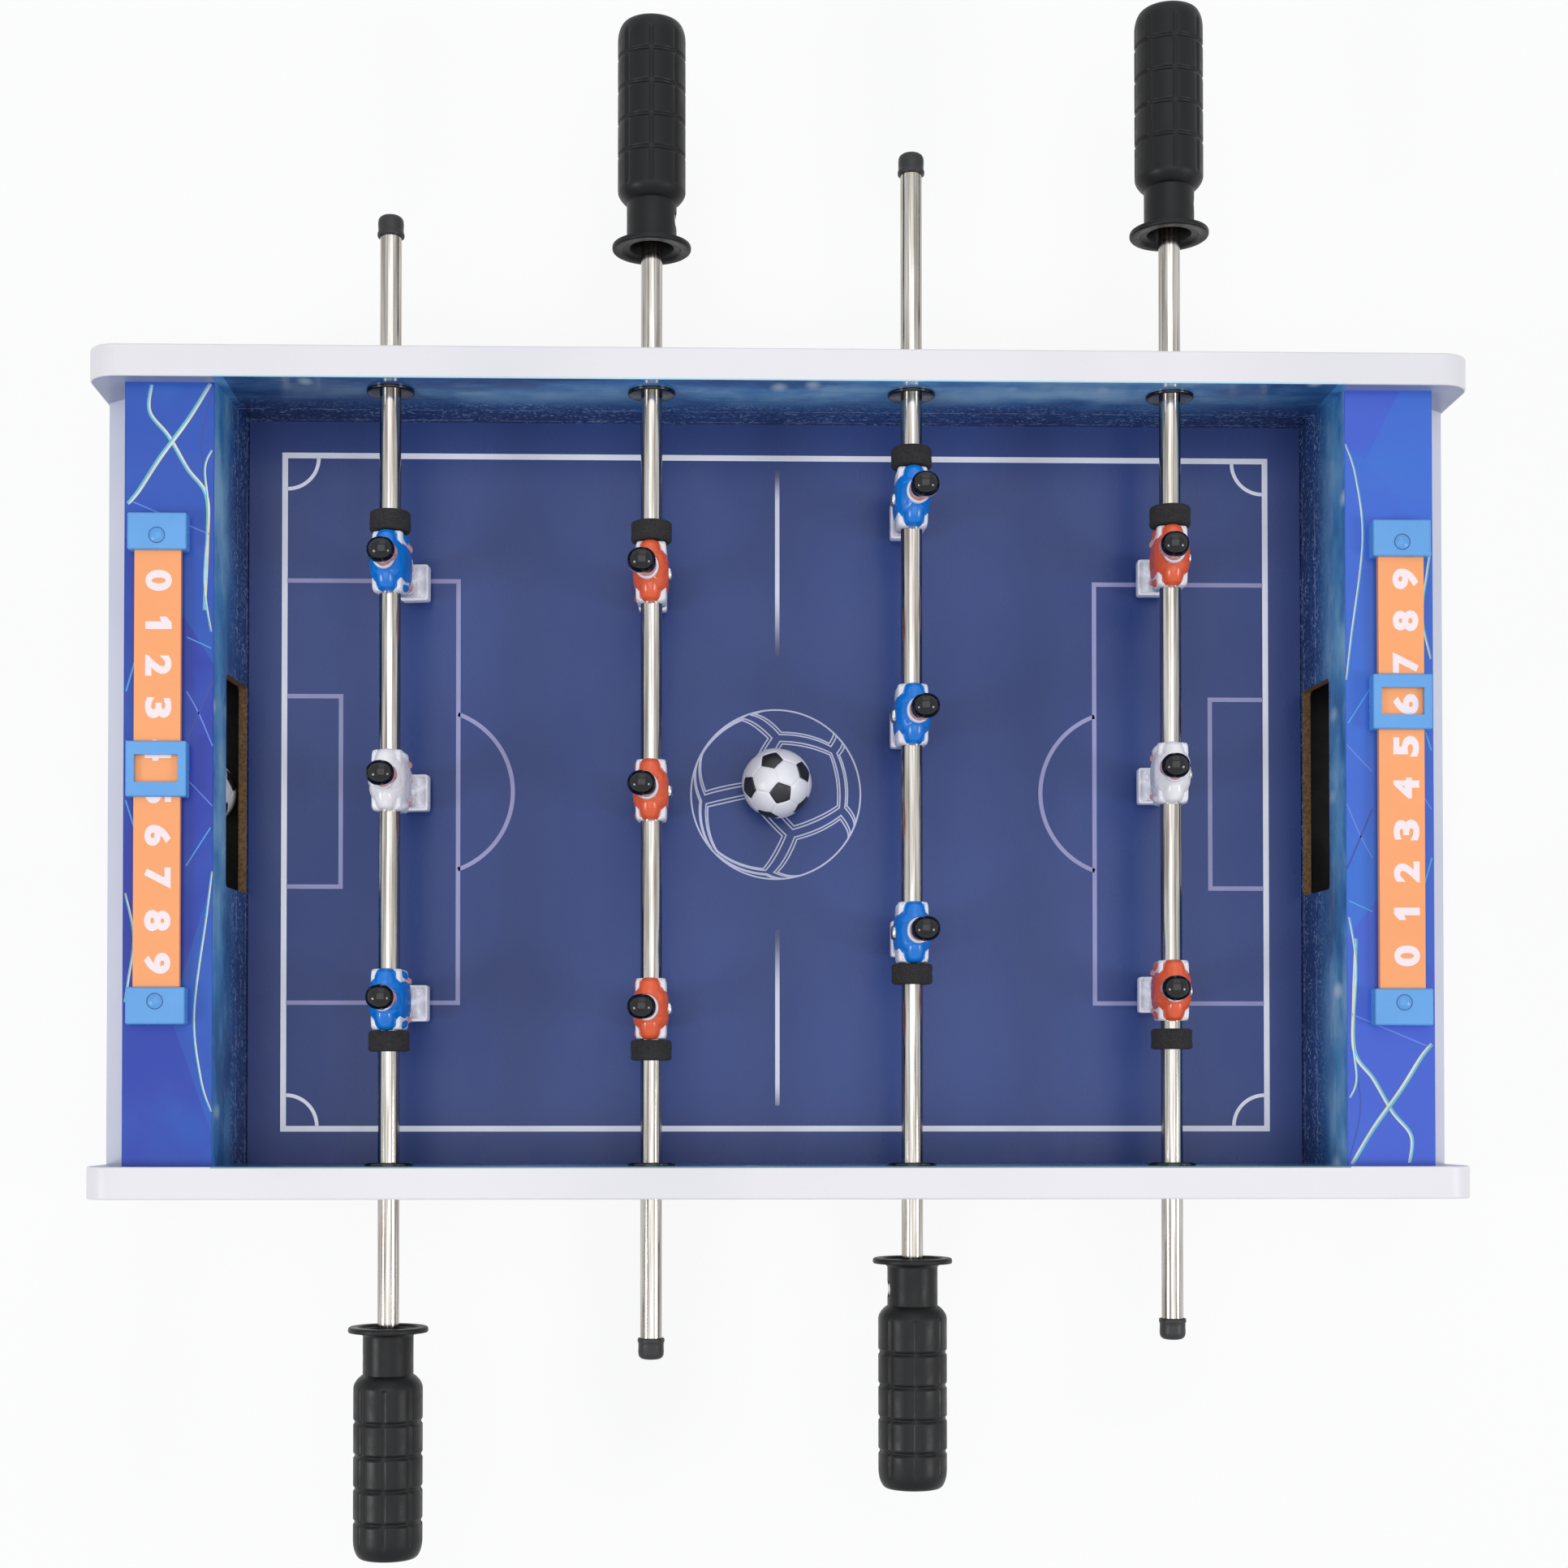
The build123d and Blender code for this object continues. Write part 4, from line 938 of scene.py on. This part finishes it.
def player_mesh(shirt):
    """One toy footballer about the rod's axis: faces +X, stands along Z."""
    maker = Maker(shirt, "moulded_white", "hair_black", "skin")
    # clamp block round the rod, seen at the four corners
    maker.loft([oval(0, 0, z, hx, hy, p, 72) for z, hx, hy, p in (
        (-7.0, 5.0, 10.6, 9), (-6.8, 5.4, 11.0, 9), (-6.2, 5.65, 11.25, 11), (0, 5.7, 11.3, 11),
        (4.6, 5.65, 11.25, 11), (5.3, 5.4, 11.0, 9), (5.6, 5.0, 10.6, 9))], 1)
    for side in (-1, 1):
        for fore in (-1, 1):
            blob(maker, (fore * 4.3, side * 10.4, 2.5), (1.2, 0.9, 3.4), 1, 20, 3.0)
    # broad chest and back
    rows = smooth_rows([(0, -11.4, 4.6, 7.6, 2.8), (0, -10.6, 5.6, 8.6, 2.8), (0, -7.5, 6.3, 9.2, 3.0),
            (0.1, -2.0, 6.6, 9.3, 3.0), (0.1, 3.0, 6.7, 9.2, 2.9),
                        (0.0, 6.0, 6.3, 8.8, 2.7), (0.0, 8.4, 5.2, 7.8, 2.5), (0.2, 10.2, 3.9, 6.2, 2.3),
                        (0.6, 11.6, 3.0, 4.2, 2.1), (1.0, 12.3, 2.4, 3.0, 2.0)], 5)
    rings = []
    for cx, z, hx, hy, p in rows:
        ring = oval(cx, 0, z, hx, hy, p, 112)
        for q in ring:
            fold = noise.noise(Vector((q.x * 0.16, q.y * 0.23, q.z * 0.12 + 5)))
            crest = 1 - abs(math.sin(q.y * 0.55 + fold * 5.0 + q.z * 0.2))
            q.x -= math.copysign(1, q.x) * 0.35 * crest ** 3 * min(1.0, abs(q.x) / 3)
            q.y *= 1 + 0.012 * fold
        rings.append(ring)
    maker.loft(rings, 0)
    # shoulders and upper arms, rounded off at both ends
    for side in (-1, 1):
        rings = []
        for y, rx, rz, z in smooth_rows([(3.0, 3.9, 4.6, 6.4), (5.0, 4.1, 4.7, 6.2), (7.0, 4.15, 4.7, 5.8),
                (9.0, 3.9, 4.6, 5.2), (10.4, 3.4, 4.1, 4.7),
                                         (11.1, 2.6, 3.1, 4.4), (11.4, 1.6, 2.0, 4.2), (11.5, 0.5, 0.6, 4.2)],
                                         3):
            ring = [Vector((0.2 + rx * math.cos(a), side * y, z + rz * math.sin(a))) for a in turns(48)]
            rings.append(ring if side < 0 else ring[::-1])
        maker.loft(rings, 0)
    # sleeves down to the hands, on the thighs
    for side in (-1, 1):
        limb(maker, [(1.4, side * 9.0, 6.0, 2.6, 1.9), (3.4, side * 9.3, 2.0, 2.6, 1.8),
                (4.3, side * 9.0, -1.8, 2.2, 1.6), (4.5, side * 8.6, -3.0, 1.9, 1.4)], 0)
        limb(maker, [(4.4, side * 8.4, -2.6, 1.5, 1.2), (4.6, side * 7.8, -6.4, 1.4, 1.1),
                (4.7, side * 7.2, -9.0, 1.5, 1.2), (4.6, side * 7.1, -10.4, 1.1, 0.9)], 3)
    # collar, neck, head and hair
    cx, z = 1.0, 12.3
    maker.loft([oval(cx + (q - z) * 0.12, 0, q, hx, hy, 2.0, 56) for q, hx, hy in (
        (11.0, 3.6, 4.0), (12.2, 4.2, 4.7), (13.3, 4.4, 4.8), (13.9, 4.1, 4.5), (14.0, 3.7, 4.1),
        (13.4, 3.4, 3.8), (12.6, 3.0, 3.4))], 1)
    limb(maker, [(1.1, 0, 12.0, 3.0, 3.3), (1.4, 0, 14.0, 2.9, 3.1), (2.0, 0, 16.5, 2.8, 3.0),
            (2.6, 0, 18.0, 2.8, 3.0)], 3)
    rows = smooth_rows([(3.7, 14.3, 1.6, 1.3), (3.7, 14.8, 2.7, 2.2), (3.5, 16.2, 3.7, 3.1),
            (3.3, 18.6, 4.3, 3.9), (3.1, 21.0, 4.5, 4.2), (3.0, 23.5, 4.3, 4.1), (2.9, 25.5, 3.1, 3.0),
            (2.9, 26.2, 1.2, 1.2)], 4)
    maker.loft([oval(a, 0, b, c, d, 2.1, 48) for a, b, c, d in rows], 3)
    blob(maker, (2.55, 0, 22.7), (5.15, 4.6, 4.3), 2, 64, 2.15)
    blob(maker, (0.6, 0, 20.0), (3.2, 4.05, 3.9), 2, 48, 2.1)
    for side in (-1, 1):
        blob(maker, (2.7, side * 4.1, 19.4), (0.85, 0.55, 1.15), 3, 20)
        blob(maker, (7.15, side * 1.5, 19.6), (0.3, 0.45, 0.34), 2, 16)
        blob(maker, (7.0, side * 1.55, 20.55), (0.3, 0.75, 0.16), 2, 16)
    blob(maker, (7.1, 0, 18.5), (0.6, 0.5, 0.75), 3, 20)
    blob(maker, (6.6, 0, 16.9), (0.45, 0.95, 0.2), 3, 20)
    # shorts, legs, socks
    for side in (-1, 1):
        y = side * 3.6
        limb(maker, [(0.1, side * 4.0, -9.8, 4.7, 4.0), (0.2, side * 3.95, -12.5, 4.6, 3.75),
                (0.3, side * 3.8, -15.6, 4.3, 3.3), (0.3, side * 3.8, -16.6, 3.9, 3.0)], 1)
        limb(maker, [(0.2, y, -14.5, 3.1, 2.6), (0.6, y, -19.0, 2.8, 2.4), (0.2, y, -22.0, 2.6, 2.3),
                (0.1, y, -24.5, 2.8, 2.4)], 3)
        limb(maker, [(0.1, y, -23.6, 3.0, 2.6), (-0.1, y, -26.0, 3.15, 2.65), (0.0, y, -29.0, 2.7, 2.4),
                (0.4, y, -32.4, 2.7, 2.5)], 1)
    # shoe plate: a shallow tray with a raised rim and a middle step
    mid, half = 1.05, 5.45
    maker.loft([oval(mid, 0, z, half - inset, 7.0 - inset, 14, 96) for z, inset in (
        (-36.0, 0.5), (-35.8, 0.15), (-35.4, 0.0), (-31.5, 0.0), (-31.1, 0.12), (-31.0, 0.35), (-31.0, 0.9),
        (-31.2, 1.1), (-31.9, 1.2))], 1)
    maker.loft([oval(mid + 1.2, 0, z, 0.35, 5.7, 8, 24) for z in (-32.2, -31.65, -31.55)], 1)
    for side in (-1, 1):
        blob(maker, (1.2, side * 3.6, -32.0), (2.9, 2.4, 1.9), 1, 28)
    return maker


def make_players():
    made = {}
    for rod in range(1, 5):
        low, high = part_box(f"rod_{rod}_tube")
        x, z = (low.x + high.x) / 2 / MM, (low.z + high.z) / 2 / MM
        facing = FACING[rod - 1]
        lean = Matrix.Rotation(math.radians(-facing * FEET_FORWARD[rod - 1]), 4, "Y")
        flip = Matrix.Rotation(math.pi if facing < 0 else 0.0, 4, "Z")
        for k in range(1, 4):
            node = f"rod_{rod}_player_{k}"
            a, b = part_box(node)
            shirt = "player_blue" if rod in (1, 3) else "player_orange"
            if k == 2 and rod in (1, 4):
                shirt = "player_white"
            if shirt not in made:
                made[shirt] = player_mesh(shirt)
            where = Matrix.Translation((x, (a.y + b.y) / 2 / MM, z)) @ lean @ flip
            piece = made[shirt].build(f"rod_{rod}_footballer_{k}", f"rod_{rod}", where, crease=48)
            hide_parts(node)


# ------------------------------------------------------------------ stage

def glow(tree, amount):
    """1 for what the camera sees directly, by reflection or through glass."""
    path = tree.nodes.new("ShaderNodeLightPath")
    total = path.outputs["Is Camera Ray"]
    for name in ("Is Glossy Ray", "Is Transmission Ray"):
        n = tree.nodes.new("ShaderNodeMath")
        n.operation = "MAXIMUM"
        tree.links.new(total, n.inputs[0])
        tree.links.new(path.outputs[name], n.inputs[1])
        total = n.outputs[0]
    n = tree.nodes.new("ShaderNodeMath")
    n.operation = "MULTIPLY"
    n.inputs[1].default_value = amount
    tree.links.new(total, n.inputs[0])
    return n.outputs[0]


def make_stage():
    maker = Maker("moulded_white")
    slab(maker, [(x * 2600, y * 2600) for x, y in ((-1, -1), (1, -1), (1, 1), (-1, 1))], -6.0, -0.05)
    floor = maker.build("floor", smooth=False)
    mat = bpy.data.materials.new("floor_paper")
    mat.use_nodes = True
    tree = mat.node_tree
    bsdf = tree.nodes["Principled BSDF"]
    bsdf.inputs["Base Color"].default_value = (0.86, 0.86, 0.87, 1)
    bsdf.inputs["Roughness"].default_value = 0.9
    white = tree.nodes.new("ShaderNodeEmission")
    white.inputs["Strength"].default_value = 1.0
    mix = tree.nodes.new("ShaderNodeMixShader")
    tree.links.new(glow(tree, 0.86), mix.inputs[0])
    tree.links.new(bsdf.outputs[0], mix.inputs[1])
    tree.links.new(white.outputs[0], mix.inputs[2])
    tree.links.new(mix.outputs[0], tree.nodes["Material Output"].inputs["Surface"])
    floor.data.materials.clear()
    floor.data.materials.append(mat)
    world = bpy.data.worlds.new("studio")
    bpy.context.scene.world = world
    world.use_nodes = True
    tree = world.node_tree
    back = tree.nodes["Background"]
    back.inputs["Color"].default_value = (0.93, 0.96, 1.0, 1)
    n = tree.nodes.new("ShaderNodeMapRange")
    n.inputs["To Min"].default_value = 0.42
    n.inputs["To Max"].default_value = 1.0
    tree.links.new(glow(tree, 1.0), n.inputs["Value"])
    tree.links.new(n.outputs[0], back.inputs["Strength"])
    for name, place, size, power in (
            ("left", (-1.5, -0.5, 1.15), 0.45, 8.5), ("right", (1.5, -0.4, 1.15), 0.45, 7.5),
            ("far", (0.1, 1.7, 1.3), 1.4, 4.0), ("above", (0.0, 0.1, 2.2), 2.0, 17.0)):
        data = bpy.data.lights.new(name, "AREA")
        data.shape, data.size, data.energy = "SQUARE", size, power
        lamp = bpy.data.objects.new(name, data)
        lamp.location = place
        lamp.rotation_euler = (-Vector(place)).to_track_quat("-Z", "Y").to_euler()
        bpy.context.scene.collection.objects.link(lamp)


def make_camera():
    data = bpy.data.cameras.new("camera")
    data.lens, data.sensor_width = 53.2, 36.0
    data.shift_x, data.shift_y = 0.0315, 0.178
    cam = bpy.data.objects.new("camera", data)
    cam.location = (-0.03725, -0.12091, 0.93103)
    cam.rotation_euler = (0.0173, -0.0229, 0.0)
    bpy.context.scene.collection.objects.link(cam)
    bpy.context.scene.camera = cam


make_looks()
dress_nodes()
field_lines()
rail_streaks()
digits()
small_lines()
make_ball("match_ball", "match_ball", Vector((0.09, -0.42, 0.90)), Vector((-0.18, 0.54, 0.82)))
make_ball("pocket_ball", "pocket_ball", Vector((0.3, 0.2, 0.93)), Vector((-0.6, 0.4, 0.69)))
for rod in range(1, 5):
    make_handle(rod)
    make_bumpers(rod)
    make_cap(rod)
make_players()
make_stage()
make_camera()
view = bpy.context.scene.view_settings
view.view_transform = "Standard"
